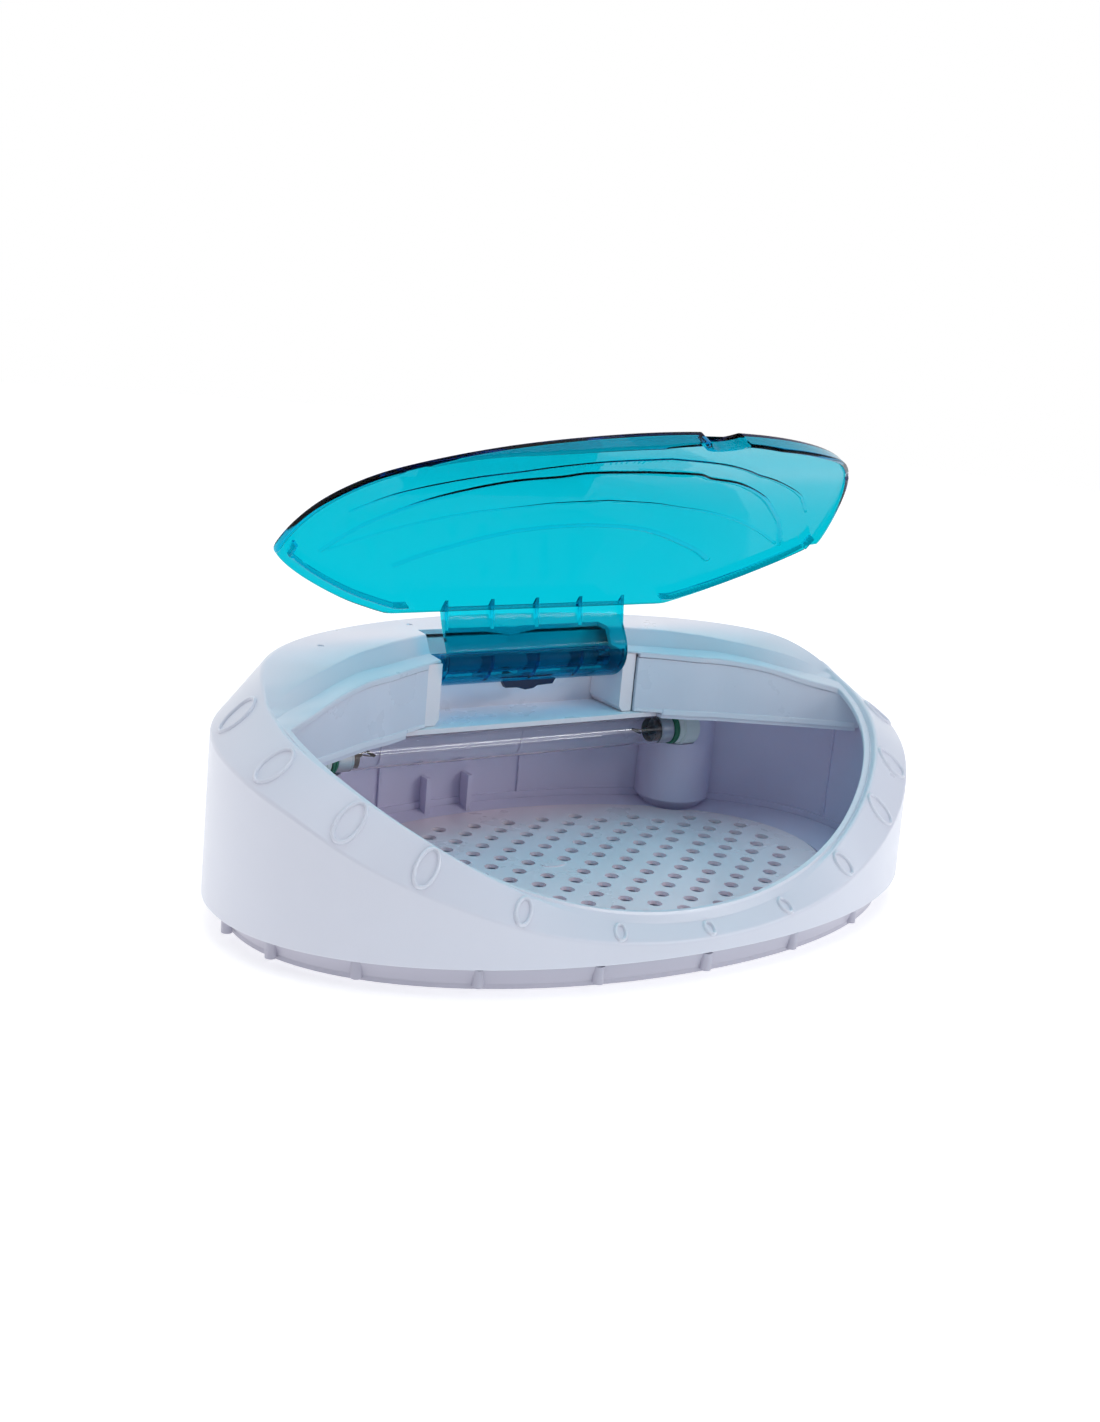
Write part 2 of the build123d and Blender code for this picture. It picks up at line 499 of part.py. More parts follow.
arm -= tube_x(4.4, -48, 48, HINGE_Y, HINGE_Z)
# gussets in the corner between the plate and the arm
gy, gz = to_open(27.4, under_y(27.4) + 0.6)
for x in (-55.0, -27.5, 0.0, 27.5, 55.0):
    g = Wire.make_polygon([Vector(x - 1.0, gy, gz), Vector(x - 1.0, 58.6, 142.4), Vector(x - 1.0, 57.2, 136.0), Vector(x - 1.0, 53.2, 128.2)], close=True)
    arm += Solid.extrude(Face(g), Vector(2.0, 0, 0))
arm -= opened(sheet)
arm = max(arm.solids(), key=lambda q: q.volume)
PARTS["lid_arm"] = arm

tab_prof = [(-17.2, 101.1), (17.5, 101.1), (15.2, 97.4), (5.5, 96.9), (3.1, 95.5), (-2.0, 95.0), (-7.2, 96.4), (-14.4, 96.6)]
tab = Solid.extrude(Face(Wire.make_polygon([Vector(x, 59.5, z) for x, z in tab_prof], close=True)), Vector(0, -3.0, 0))
tab -= arm
PARTS["interlock_tab"] = max(tab.solids(), key=lambda q: q.volume)

for name, sg in (("hinge_pin_right", 1), ("hinge_pin_left", -1)):
    a_, b_ = sorted((sg * 49.0, sg * 65.0))
    PARTS[name] = tube_x(3.0, a_, b_, HINGE_Y, HINGE_Z)

# ---------------------------------------------------------------- lamp and holders
gx0, gx1 = LAMP_X - GLASS_HALF, LAMP_X + GLASS_HALF
PARTS["lamp_glass"] = tube_x(LAMP_R, gx0, gx1, LAMP_Y, LAMP_Z) - tube_x(LAMP_R - 0.9, gx0 - 1, gx1 + 1, LAMP_Y, LAMP_Z)
for name, sg in (("right", 1), ("left", -1)):
    e = LAMP_X + sg * GLASS_HALF
    f = e + sg * CAP_L
    a_, b_ = sorted((e + sg * 0.1, f))
    cap = tube_x(8.1, a_, b_, LAMP_Y, LAMP_Z)
    a_, b_ = sorted((e - sg * 1, f - sg * 2.0))
    cap -= tube_x(7.2, a_, b_, LAMP_Y, LAMP_Z)
    for dy in (-2.5, 2.5):
        a_, b_ = sorted((f - sg * 3, f + sg))
        cap -= tube_x(1.25, a_, b_, LAMP_Y + dy, LAMP_Z)
    PARTS["lamp_cap_" + name] = cap
    a_, b_ = sorted((f - sg * 4.0, f + sg * 7.0))
    for k, dy in (("a", -2.5), ("b", 2.5)):
        PARTS["lamp_pin_%s_%s" % (name, k)] = tube_x(1.15, a_, b_, LAMP_Y + dy, LAMP_Z)
    a_, b_ = sorted((e + sg * 4.8, e - sg * 13.0))
    mount = tube_x(2.6, a_, b_, LAMP_Y, LAMP_Z)
    a_, b_ = sorted((e - sg * 12.0, e - sg * 15.4))
    mount += Pos((a_ + b_) / 2, LAMP_Y, LAMP_Z) * Box(b_ - a_, 9.0, 1.6)
    PARTS["lamp_cathode_" + name] = mount
    a_, b_ = sorted((f + sg * 0.25, f + sg * 3.2))
    seal_ring = tube_x(9.0, a_, b_, LAMP_Y, LAMP_Z) - tube_x(4.6, a_ - 1, b_ + 1, LAMP_Y, LAMP_Z)
    PARTS["holder_seal_" + name] = seal_ring
    a_, b_ = sorted((f + sg * 3.4, f + sg * 17.0))
    hold = tube_x(9.7, a_, b_, LAMP_Y, LAMP_Z)
    for dy in (-2.5, 2.5):
        a_, b_ = sorted((f + sg * 2, f + sg * 8.0))
        hold -= tube_x(1.4, a_, b_, LAMP_Y + dy, LAMP_Z)
    PARTS["lampholder_" + name] = hold

# ---------------------------------------------------------------- parts behind the hood
board = block(-48, 48, 85.5, 105.5, 82.0, 83.6)
for x in (-44, 44):
    for y in (88.5, 102.5):
        board += Pos(x, y, HOOD_Z + 0.1) * Cylinder(1.6, 3.2, align=(Align.CENTER, Align.CENTER, Align.MIN))
PARTS["ballast_board"] = board
PARTS["ballast_choke"] = block(-40, -12, 87, 104, 83.7, 103.0)
PARTS["ballast_capacitor"] = Pos(2, 95, 83.7) * Cylinder(6.2, 20, align=(Align.CENTER, Align.CENTER, Align.MIN))
PARTS["ballast_transistors"] = block(16, 40, 90, 94, 83.7, 98) + block(16, 40, 94, 100, 83.7, 86.5)

PARTS["interlock_plunger"] = (Pos(0, 77.4, PLUNGER_Z) * Rot(-90, 0, 0) * Cylinder(2.3, 8.4, align=(Align.CENTER, Align.CENTER, Align.MIN)))
switch_case = block(-10, 10, 83.0, 85.3, PLUNGER_Z - 4, PLUNGER_Z + 16)
switch_case -= Pos(0, 84, PLUNGER_Z) * Rot(90, 0, 0) * Cylinder(2.5, 10)
PARTS["interlock_switch"] = switch_case

# rear rocker switch and cord gland, set square to the wall
bezel = rocker_plane * (Pos(0, 0, 1.55) * Box(24, 18, 2.2) + Pos(0, 0, -4.9) * Box(19.0, 13.0, 11.0) - Pos(0, 0, 0.2) * Box(16.4, 10.4, 16))
PARTS["switch_bezel"] = bezel
rock_prof = [(-6.6, -4.6), (-7.1, 2.9), (0, 1.5), (7.1, 0.9), (6.6, -4.6), (0, -5.8)]
rock = Solid.extrude(Face(Wire.make_polygon([Vector(x, -4.9, z) for x, z in rock_prof], close=True)), Vector(0, 9.8, 0))
PARTS["switch_rocker"] = rocker_plane * rock
gland = gland_plane * (Pos(0, 0, 3.4) * Cylinder(7.4, 6.0) + Pos(0, 0, -3.0) * Cylinder(4.9, 8.0) - Cylinder(3.2, 40))
PARTS["cord_gland"] = gland

# ---------------------------------------------------------------- feet and screws
for name, x, y in (("foot_front_left", -128, -58), ("foot_front_right", 128, -58), ("foot_rear_left", -128, 58), ("foot_rear_right", 128, 58)):
    PARTS[name] = Pos(x, y, 0) * Cylinder(9, 1.95, align=(Align.CENTER, Align.CENTER, Align.MIN))
n = 1
for sx in (-1, 1):
    for sy in (-1, 1):
        scr = Pos(sx * 100, sy * 62, 2.2) * Cylinder(3.3, 1.3, align=(Align.CENTER, Align.CENTER, Align.MIN))
        scr += Pos(sx * 100, sy * 62, 3.4) * Cylinder(1.6, 5.0, align=(Align.CENTER, Align.CENTER, Align.MIN))
        scr -= Pos(sx * 100, sy * 62, 2.0) * Box(4.6, 0.9, 0.8, align=(Align.CENTER, Align.CENTER, Align.MIN))
        scr -= Pos(sx * 100, sy * 62, 2.0) * Box(0.9, 4.6, 0.8, align=(Align.CENTER, Align.CENTER, Align.MIN))
        PARTS["screw_%d" % n] = scr
        n += 1

for name, part in PARTS.items():
    export_step(part, os.path.join("parts", name + ".step"))
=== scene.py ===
import bpy
import bmesh
import math
import numpy as np
from mathutils import Matrix, Vector
from mathutils.geometry import delaunay_2d_cdt


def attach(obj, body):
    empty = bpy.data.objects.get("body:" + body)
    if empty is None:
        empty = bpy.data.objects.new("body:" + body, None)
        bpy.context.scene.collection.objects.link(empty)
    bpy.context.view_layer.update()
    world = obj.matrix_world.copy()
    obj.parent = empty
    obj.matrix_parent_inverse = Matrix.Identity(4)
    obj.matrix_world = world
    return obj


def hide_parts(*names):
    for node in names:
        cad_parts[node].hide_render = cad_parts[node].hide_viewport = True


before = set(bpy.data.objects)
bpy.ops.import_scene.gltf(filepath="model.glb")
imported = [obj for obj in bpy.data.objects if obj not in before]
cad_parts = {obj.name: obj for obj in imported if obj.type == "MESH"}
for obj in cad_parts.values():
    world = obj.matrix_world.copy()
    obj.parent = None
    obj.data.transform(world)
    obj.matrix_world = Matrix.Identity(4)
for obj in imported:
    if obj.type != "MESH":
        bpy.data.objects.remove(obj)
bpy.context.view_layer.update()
S = 0.001                      # the shapes below are worked out in millimetres

# ================================================================ shape numbers
WALL = (197.7, 121.0)
CREASE = (196.4, 119.6)
BAND = (171.8, 111.2)
MOUTH = (166.0, 104.8)
N = 2.06
SEAM_Z = 14.0
SKIN = 2.5
LINER = (181.0, 107.0)
FLOOR_Z = 11.0
TRAY_TOP = 15.0
HINGE_Y, HINGE_Z = 66.5, 108.5
LID_OPEN = math.radians(65.0)
LID = (165.1, 120.9)
LID_Y, LID_N, LID_SWEEP = -2.46, 2.03, 86.3
LID_T = 2.4
LAMP = (-5.5, 62.0, 64.5)
GLASS_HALF = 97.0
CAP_L = 9.0
COL_X, COL_Y, COL_R = 121.4, 79.0, 22.0
BAY_HALF, BAY_BACK, SLOT_HALF = 65.8, 79.5, 57.2


def mono(xs, ys):
    xs, ys = np.array(xs, float), np.array(ys, float)
    h = np.diff(xs)
    d = np.diff(ys) / h
    m = np.zeros(len(xs))
    for i in range(1, len(xs) - 1):
        if d[i - 1] * d[i] > 0:
            w1, w2 = 2 * h[i] + h[i - 1], h[i] + 2 * h[i - 1]
            m[i] = (w1 + w2) / (w1 / d[i - 1] + w2 / d[i])
    m[0], m[-1] = d[0], d[-1]

    def at(x):
        x = np.clip(np.asarray(x, float), xs[0], xs[-1])
        i = np.clip(np.searchsorted(xs, x, side="right") - 1, 0, len(xs) - 2)
        t = (x - xs[i]) / h[i]
        return ((1 + 2 * t) * (1 - t) ** 2 * ys[i] + t * (1 - t) ** 2 * h[i] * m[i]
                + t * t * (3 - 2 * t) * ys[i + 1] + t * t * (t - 1) * h[i] * m[i + 1])
    return at


KNOTS = [-1.0, -0.93, -0.8, -0.6, -0.35, 0.0, 0.45, 1.0]
Z_BAND = [26.3, 35.0, 53.5, 74.4, 91.3, 105.6, 122.5, 126.5]
z_crease = mono(KNOTS, [21.0, 27.5, 41.0, 58.2, 76.3, 88.6, 95.5, 99.0])
z_band = mono(KNOTS, Z_BAND)
z_mouth = mono(KNOTS, [30.8, 38.2, 51.1, 70.4, 87.7, 102.8, 112.0, 114.0])
hood_y = mono([0, 30, 56, 66, 80, 94, 108, 124, 140, 160, 166, 182],
              [62.0, 58.5, 52.8, 48.6, 41.4, 34.0, 28.4, 19.2, 10.2, -1.2, -5.0, -15.0])
hood_z = mono([-12, -4, 2, 10, 19, 30, 42, 62, 80], [100.8, 102.6, 104.4, 108.0, 111.4, 113.2, 114.2, 114.8, 115.0])
valley_z = mono([0, 90, 107, 125, 145, 160, 170], [115.4, 115.2, 114.8, 112.8, 108.6, 105.6, 103.0])
upper_z = mono([0, 80, 101, 125, 150, 168, 172], [124.5, 124.2, 122.8, 119.6, 114.8, 107.4, 105.5])
under_y = mono([-124, -116, -111, -103, -88, -66, -38.6, 0, 20, 42, 60],
               [31.5, 38.0, 42.4, 49.5, 61.9, 79.1, 94.1, 107.2, 112.2, 115.9, 117.9])
lid_rear = mono([0, 85, 92, 100, 110, 121.7, 135, 146, 156, 164.6], [36.8, 36.8, 34.7, 31.5, 27.2, 21.0, 12.8, 5.0, -3.5, -13.0])


def radius(th, ab, n=N):
    return (np.abs(np.sin(th) / ab[0]) ** n + np.abs(np.cos(th) / ab[1]) ** n) ** (-1 / n)


def hood_radius(th, shift):
    lo, hi = 20.0, 260.0
    for _ in range(44):
        r = (lo + hi) / 2
        if -r * math.cos(th) < float(hood_y(abs(r * math.sin(th)))) + shift:
            lo = r
        else:
            hi = r
    return (lo + hi) / 2


def smooth(t, a, b):
    t = min(max((t - a) / (b - a), 0.0), 1.0)
    return t * t * (3 - 2 * t)


def rim(th):
    deg = math.degrees(th)
    w = smooth(deg, 86, 96)
    rb = float(radius(th, BAND))
    zb = float(z_band(-rb * math.cos(th) / BAND[1]))
    re = float(radius(th, MOUTH))
    r5 = re if deg < 86 else min(re, hood_radius(th, 0.0))
    y5 = -r5 * math.cos(th)
    z5 = float(z_mouth(y5 / MOUTH[1])) * (1 - w) + float(hood_z(y5)) * w
    r4, r3 = r5 + 3.2, r5 + 3.9
    if deg >= 86:
        r4 = max(min(re + 3.2, hood_radius(th, 12.0)), r5 + 2.6)
        r3 = max(min(re + 3.9, hood_radius(th, 18.0)), r4 + 0.7)
    z4 = (z5 + 0.2) * (1 - w) + float(valley_z(r4 * math.sin(th))) * w
    z3 = (z5 - 1.0) * (1 - w) + float(upper_z(r3 * math.sin(th))) * w
    return rb, zb, r3, z3, r4, z4, r5, z5


def miter(p0, p1, p2, t):
    u = np.subtract(p1, p0) / np.hypot(*np.subtract(p1, p0))
    v = np.subtract(p2, p1) / np.hypot(*np.subtract(p2, p1))
    n1, n2 = np.array([-u[1], u[0]]), np.array([-v[1], v[0]])
    return tuple(np.array(p1) + t * (n1 + n2) / (1 + n1 @ n2))


# ================================================================ mesh helpers
def fillet(points, radii, segs, closed=True):
    """Rounds the corners of a polyline; the count of points depends only on segs."""
    out = []
    n = len(points)
    P = [np.array(p, float) for p in points]
    for i in range(n):
        if not closed and i in (0, n - 1):
            out.append(P[i])
            continue
        a, b, c = P[i - 1], P[i], P[(i + 1) % n]
        la, lc = np.linalg.norm(a - b), np.linalg.norm(c - b)
        ua, uc = (a - b) / max(la, 1e-9), (c - b) / max(lc, 1e-9)
        cosang = float(np.clip(ua @ uc, -1, 1))
        half = math.acos(cosang) / 2
        d = min(radii[i] / max(math.tan(half), 1e-3), 0.46 * la, 0.46 * lc)
        s0, s1 = b + ua * d, b + uc * d
        w = math.sin(half)
        for k in range(segs[i] + 1):
            u = k / segs[i] if segs[i] else 0.5
            den = (1 - u) ** 2 + 2 * u * (1 - u) * w + u * u
            out.append(((1 - u) ** 2 * s0 + 2 * u * (1 - u) * w * b + u * u * s1) / den)
    return np.array(out)


def new_object(name, verts, faces, sharp=32.0, weighted=True):
    me = bpy.data.meshes.new(name)
    me.from_pydata([tuple(v) for v in np.asarray(verts, float) * S], [], [tuple(f) for f in faces])
    me.validate()
    me.update()
    ob = bpy.data.objects.new(name, me)
    bpy.context.scene.collection.objects.link(ob)
    bm = bmesh.new()
    bm.from_mesh(me)
    bmesh.ops.recalc_face_normals(bm, faces=bm.faces)
    bm.to_mesh(me)
    bm.free()
    shade(ob, sharp, weighted)
    return ob


def shade(ob, sharp=32.0, weighted=True):
    me = ob.data
    me.polygons.foreach_set("use_smooth", [True] * len(me.polygons))
    if sharp:
        me.set_sharp_from_angle(angle=math.radians(sharp))
    if weighted:
        m = ob.modifiers.new("even", "WEIGHTED_NORMAL")
        m.keep_sharp = True
        m.weight = 60
    me.update()


def grid(name, P, close_u=True, close_v=True, sharp=32.0, weighted=True, caps=False):
    """Quads over P[i][j]; u is the first index."""
    P = np.asarray(P, float)
    nu, nv = P.shape[:2]
    faces = []
    for i in range(nu if close_u else nu - 1):
        for j in range(nv if close_v else nv - 1):
            a, b = i * nv + j, ((i + 1) % nu) * nv + j
            c, d = ((i + 1) % nu) * nv + (j + 1) % nv, i * nv + (j + 1) % nv
            faces.append((a, b, c, d))
    if caps:
        faces.append(tuple(range(nv)))
        faces.append(tuple((nu - 1) * nv + j for j in range(nv))[::-1])
    return new_object(name, P.reshape(-1, 3), faces, sharp, weighted)


def lathe_x(name, profile, y0, z0, n=72, closed=True, **kw):
    """Turns a list of (x, r) about the line through y0, z0 along X."""
    pr = np.array(profile, float)
    P = []
    for k in range(n):
        a = 2 * math.pi * k / n
        P.append(np.c_[pr[:, 0], y0 + pr[:, 1] * math.cos(a), z0 + pr[:, 1] * math.sin(a)])
    return grid(name, P, True, closed, **kw)


def merged(name, objects):
    """One object out of several closed shells."""
    bm = bmesh.new()
    for o in objects:
        bm.from_mesh(o.data)
    me = bpy.data.meshes.new(name)
    bm.to_mesh(me)
    bm.free()
    ob = bpy.data.objects.new(name, me)
    bpy.context.scene.collection.objects.link(ob)
    for o in objects:
        bpy.data.objects.remove(o)
    shade(ob)
    return ob


def cut(ob, cutters, op="DIFFERENCE"):
    for c in cutters:
        m = ob.modifiers.new("cut", "BOOLEAN")
        m.operation, m.object, m.solver = op, c, "EXACT"
    bake(ob)
    for c in cutters:
        bpy.data.objects.remove(c)


def bake(ob):
    dg = bpy.context.evaluated_depsgraph_get()
    me = bpy.data.meshes.new_from_object(ob.evaluated_get(dg))
    old = ob.data
    ob.modifiers.clear()
    ob.data = me
    bpy.data.meshes.remove(old)


def prism(name, pts, z0, z1, axis="z", **kw):
    """Closed prism over a polygon in the plane across axis."""
    n = len(pts)
    lo, hi = [], []
    for a, b in pts:
        if axis == "z":
            lo.append((a, b, z0)); hi.append((a, b, z1))
        elif axis == "x":
            lo.append((z0, a, b)); hi.append((z1, a, b))
        else:
            lo.append((a, z0, b)); hi.append((a, z1, b))
    faces = [tuple(range(n))[::-1], tuple(range(n, 2 * n))]
    faces += [(i, (i + 1) % n, n + (i + 1) % n, n + i) for i in range(n)]
    return new_object(name, lo + hi, faces, **kw)


def rounded_prism(name, pts, z0, z1, axis="z", edge=0.5, corner=0.0, segs=3, corner_segs=4, **kw):
    """Prism with rounded corners and rounded end edges."""
    pts = np.array(pts, float)
    if corner:
        radii = corner if isinstance(corner, (list, tuple)) else [corner] * len(pts)
        pts = fillet(pts, radii, [corner_segs] * len(pts))
    area = 0.5 * np.sum(pts[:, 0] * np.roll(pts[:, 1], -1) - np.roll(pts[:, 0], -1) * pts[:, 1])
    if area < 0:
        pts = pts[::-1]
    nxt, prv = np.roll(pts, -1, 0), np.roll(pts, 1, 0)
    e1, e2 = pts - prv, nxt - pts
    e1 /= np.maximum(np.linalg.norm(e1, axis=1, keepdims=True), 1e-9)
    e2 /= np.maximum(np.linalg.norm(e2, axis=1, keepdims=True), 1e-9)
    n1, n2 = np.c_[-e1[:, 1], e1[:, 0]], np.c_[-e2[:, 1], e2[:, 0]]
    den = np.maximum(1 + np.sum(n1 * n2, 1, keepdims=True), 0.35)
    inward = (n1 + n2) / den
    rings = []
    for k in range(segs + 1):
        a = math.pi / 2 * k / segs
        rings.append((edge * (1 - math.sin(a)), z0 + edge * (1 - math.cos(a))))
    rings = [(i, z) for i, z in rings]
    for k in range(segs + 1):
        a = math.pi / 2 * k / segs
        rings.append((edge * (1 - math.cos(a)), z1 - edge * (1 - math.sin(a))))
    P = []
    for ins, z in rings:
        q = pts + inward * ins
        if axis == "z":
            P.append(np.c_[q[:, 0], q[:, 1], np.full(len(q), z)])
        elif axis == "x":
            P.append(np.c_[np.full(len(q), z), q[:, 0], q[:, 1]])
        else:
            P.append(np.c_[q[:, 0], np.full(len(q), z), q[:, 1]])
    return grid(name, P, False, True, caps=True, **kw)


def box(x0, x1, y0, y1, z0, z1, edge=0.5, name="box", **kw):
    return rounded_prism(name, [(x0, y0), (x1, y0), (x1, y1), (x0, y1)], z0, z1, "z", edge, edge, 3, 3, **kw)


def put(ob, body, *nodes, slot=None):
    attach(ob, body)
    if nodes:
        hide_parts(*nodes)
    return ob


# ================================================================ materials
class Net:
    def __init__(self, name):
        self.mat = bpy.data.materials.new(name)
        self.mat.use_nodes = True
        self.t = self.mat.node_tree
        self.t.nodes.clear()
        self.out = self.t.nodes.new("ShaderNodeOutputMaterial")

    def node(self, kind, **props):
        n = self.t.nodes.new("ShaderNode" + kind)
        for k, v in props.items():
            if k.startswith("i_"):
                n.inputs[k[2:].replace("_", " ")].default_value = v
            else:
                setattr(n, k, v)
        return n

    def link(self, a, b):
        self.t.links.new(a, b)


def plastic(name, rgb, rough=0.3, vary=0.02, grain=0.03, grain_scale=900.0, spec=0.5, coat=0.0, coat_rough=0.08,
            rough_vary=0.06, sss=0.0, wave=0.0, tint=None):
    """Moulded plastic: faint cloudiness, uneven gloss, fine grain and a slight waviness of the surface."""
    n = Net(name)
    p = n.node("BsdfPrincipled")
    n.link(p.outputs["BSDF"], n.out.inputs["Surface"])
    co = n.node("TexCoord")
    cloud = n.node("TexNoise")
    cloud.inputs["Scale"].default_value = 14.0
    cloud.inputs["Detail"].default_value = 3.0
    n.link(co.outputs["Object"], cloud.inputs["Vector"])
    ramp = n.node("ValToRGB")
    lo = [max(c * (1 - vary), 0) for c in rgb]
    hi = [min(c * (1 + vary), 1) for c in rgb]
    ramp.color_ramp.elements[0].position, ramp.color_ramp.elements[1].position = 0.35, 0.65
    ramp.color_ramp.elements[0].color = (*lo, 1)
    ramp.color_ramp.elements[1].color = (*hi, 1)
    n.link(cloud.outputs["Fac"], ramp.inputs["Fac"])
    n.link(ramp.outputs["Color"], p.inputs["Base Color"])
    patch = n.node("TexNoise")
    patch.inputs["Scale"].default_value = 38.0
    patch.inputs["Detail"].default_value = 5.0
    n.link(co.outputs["Object"], patch.inputs["Vector"])
    mr = n.node("MapRange")
    mr.inputs["From Min"].default_value, mr.inputs["From Max"].default_value = 0.3, 0.7
    mr.inputs["To Min"].default_value = max(rough - rough_vary, 0.02)
    mr.inputs["To Max"].default_value = rough + rough_vary
    n.link(patch.outputs["Fac"], mr.inputs["Value"])
    n.link(mr.outputs["Result"], p.inputs["Roughness"])
    fine = n.node("TexNoise")
    fine.inputs["Scale"].default_value = grain_scale
    fine.inputs["Detail"].default_value = 2.0
    n.link(co.outputs["Object"], fine.inputs["Vector"])
    b = n.node("Bump")
    b.inputs["Strength"].default_value = grain
    b.inputs["Distance"].default_value = 0.0002
    n.link(fine.outputs["Fac"], b.inputs["Height"])
    last = b
    if wave:
        w = n.node("TexNoise")
        w.inputs["Scale"].default_value = 22.0
        w.inputs["Detail"].default_value = 1.0
        n.link(co.outputs["Object"], w.inputs["Vector"])
        b2 = n.node("Bump")
        b2.inputs["Strength"].default_value = wave
        b2.inputs["Distance"].default_value = 0.002
        n.link(w.outputs["Fac"], b2.inputs["Height"])
        n.link(b.outputs["Normal"], b2.inputs["Normal"])
        last = b2
    n.link(last.outputs["Normal"], p.inputs["Normal"])
    p.inputs["Specular IOR Level"].default_value = spec
    p.inputs["Coat Weight"].default_value = coat
    p.inputs["Coat Roughness"].default_value = coat_rough
    if sss:
        p.inputs["Subsurface Weight"].default_value = sss
        p.inputs["Subsurface Radius"].default_value = (0.006, 0.006, 0.007)
        p.inputs["Subsurface Scale"].default_value = 1.0
    return n.mat


def metal(name, rgb, rough=0.25, brush=0.15, scale=(6, 400, 400)):
    n = Net(name)
    p = n.node("BsdfPrincipled")
    n.link(p.outputs["BSDF"], n.out.inputs["Surface"])
    p.inputs["Metallic"].default_value = 1.0
    co = n.node("TexCoord")
    mp = n.node("Mapping")
    mp.inputs["Scale"].default_value = scale
    n.link(co.outputs["Object"], mp.inputs["Vector"])
    t = n.node("TexNoise")
    t.inputs["Scale"].default_value = 8.0
    t.inputs["Detail"].default_value = 4.0
    n.link(mp.outputs["Vector"], t.inputs["Vector"])
    r = n.node("ValToRGB")
    r.color_ramp.elements[0].color = (*[c * 0.82 for c in rgb], 1)
    r.color_ramp.elements[1].color = (*[min(c * 1.08, 1) for c in rgb], 1)
    n.link(t.outputs["Fac"], r.inputs["Fac"])
    n.link(r.outputs["Color"], p.inputs["Base Color"])
    mr = n.node("MapRange")
    mr.inputs["To Min"].default_value, mr.inputs["To Max"].default_value = max(rough - 0.1, 0.03), rough + 0.15
    n.link(t.outputs["Fac"], mr.inputs["Value"])
    n.link(mr.outputs["Result"], p.inputs["Roughness"])
    b = n.node("Bump")
    b.inputs["Strength"].default_value = brush
    b.inputs["Distance"].default_value = 0.0002
    n.link(t.outputs["Fac"], b.inputs["Height"])
    n.link(b.outputs["Normal"], p.inputs["Normal"])
    return n.mat


def clear(name, rgb, density, rough=0.02, ior=1.49, wave=0.05, shadow=(0.96, 0.98, 1.0), surface=(1, 1, 1), spec=0.5):
    """Tinted clear plastic or glass: the depth of colour comes from the length of the way through it."""
    n = Net(name)
    p = n.node("BsdfPrincipled")
    p.inputs["Base Color"].default_value = (*surface, 1)
    p.inputs["Transmission Weight"].default_value = 1.0
    p.inputs["IOR"].default_value = ior
    p.inputs["Specular IOR Level"].default_value = spec
    co = n.node("TexCoord")
    w = n.node("TexNoise")
    w.inputs["Scale"].default_value = 18.0
    w.inputs["Detail"].default_value = 2.0
    n.link(co.outputs["Object"], w.inputs["Vector"])
    mr = n.node("MapRange")
    mr.inputs["To Min"].default_value, mr.inputs["To Max"].default_value = rough * 0.5, rough * 1.8
    n.link(w.outputs["Fac"], mr.inputs["Value"])
    n.link(mr.outputs["Result"], p.inputs["Roughness"])
    b = n.node("Bump")
    b.inputs["Strength"].default_value = wave
    b.inputs["Distance"].default_value = 0.002
    n.link(w.outputs["Fac"], b.inputs["Height"])
    n.link(b.outputs["Normal"], p.inputs["Normal"])
    tr = n.node("BsdfTransparent")
    tr.inputs["Color"].default_value = (*shadow, 1)
    lp = n.node("LightPath")
    mix = n.node("MixShader")
    n.link(lp.outputs["Is Shadow Ray"], mix.inputs["Fac"])
    n.link(p.outputs["BSDF"], mix.inputs[1])
    n.link(tr.outputs["BSDF"], mix.inputs[2])
    n.link(mix.outputs["Shader"], n.out.inputs["Surface"])
    if density:
        v = n.node("VolumeAbsorption")
        v.inputs["Color"].default_value = (*rgb, 1)
        v.inputs["Density"].default_value = density
        n.link(v.outputs["Volume"], n.out.inputs["Volume"])
    return n.mat


WHITE = plastic("casing_white", (0.74, 0.76, 0.83), rough=0.33, vary=0.01, coat=0.15, coat_rough=0.12, wave=0.0, sss=0.05)
BASE = plastic("base_white", (0.53, 0.52, 0.60), rough=0.34, vary=0.02, grain=0.08)
LINER_M = plastic("liner_grey", (0.72, 0.67, 0.83), rough=0.34, vary=0.03, grain=0.05, wave=0.02)
PANEL_M = plastic("panel_grey", (0.76, 0.78, 0.86), rough=0.3, vary=0.02, grain=0.05, wave=0.015)
TRAY_M = plastic("tray_blue_grey", (0.95, 0.785, 0.82), rough=0.3, vary=0.03, grain=0.12, grain_scale=1500, wave=0.01, coat=0.15)
# white plastic of the hinge bay and brackets, with painted light: its albedo is set above the casing's white so the
# shaded bay behind the arm reads as lit through the arm
BAY_WHITE_PAINTED_LIGHT_M = plastic("bay_white", (0.94, 0.88, 0.90), rough=0.3, vary=0.02, grain=0.04)
BLACK_M = plastic("black_plastic", (0.025, 0.026, 0.03), rough=0.42, vary=0.15, grain=0.2, grain_scale=1200)
HOLDER_M = plastic("holder_cream", (0.78, 0.84, 0.80), rough=0.36, vary=0.03, grain=0.06)
GREEN_M = plastic("seal_green", (0.03, 0.20, 0.11), rough=0.45, vary=0.12, grain=0.15)
CATHODE_M = plastic("cathode_brown", (0.10, 0.055, 0.03), rough=0.3, vary=0.5, grain=0.3, grain_scale=2600)
BOARD_M = plastic("board_green", (0.03, 0.14, 0.06), rough=0.35, vary=0.15, grain=0.2)
CHOKE_M = plastic("choke_tape", (0.45, 0.33, 0.10), rough=0.4, vary=0.1, grain=0.1)
CAPA_M = plastic("capacitor_sleeve", (0.02, 0.03, 0.12), rough=0.28, vary=0.1, grain=0.05)
RUBBER_M = plastic("foot_rubber", (0.03, 0.03, 0.033), rough=0.62, vary=0.2, grain=0.35, grain_scale=1600)
CAP_MET = metal("lamp_cap_metal", (0.62, 0.63, 0.64), rough=0.3)
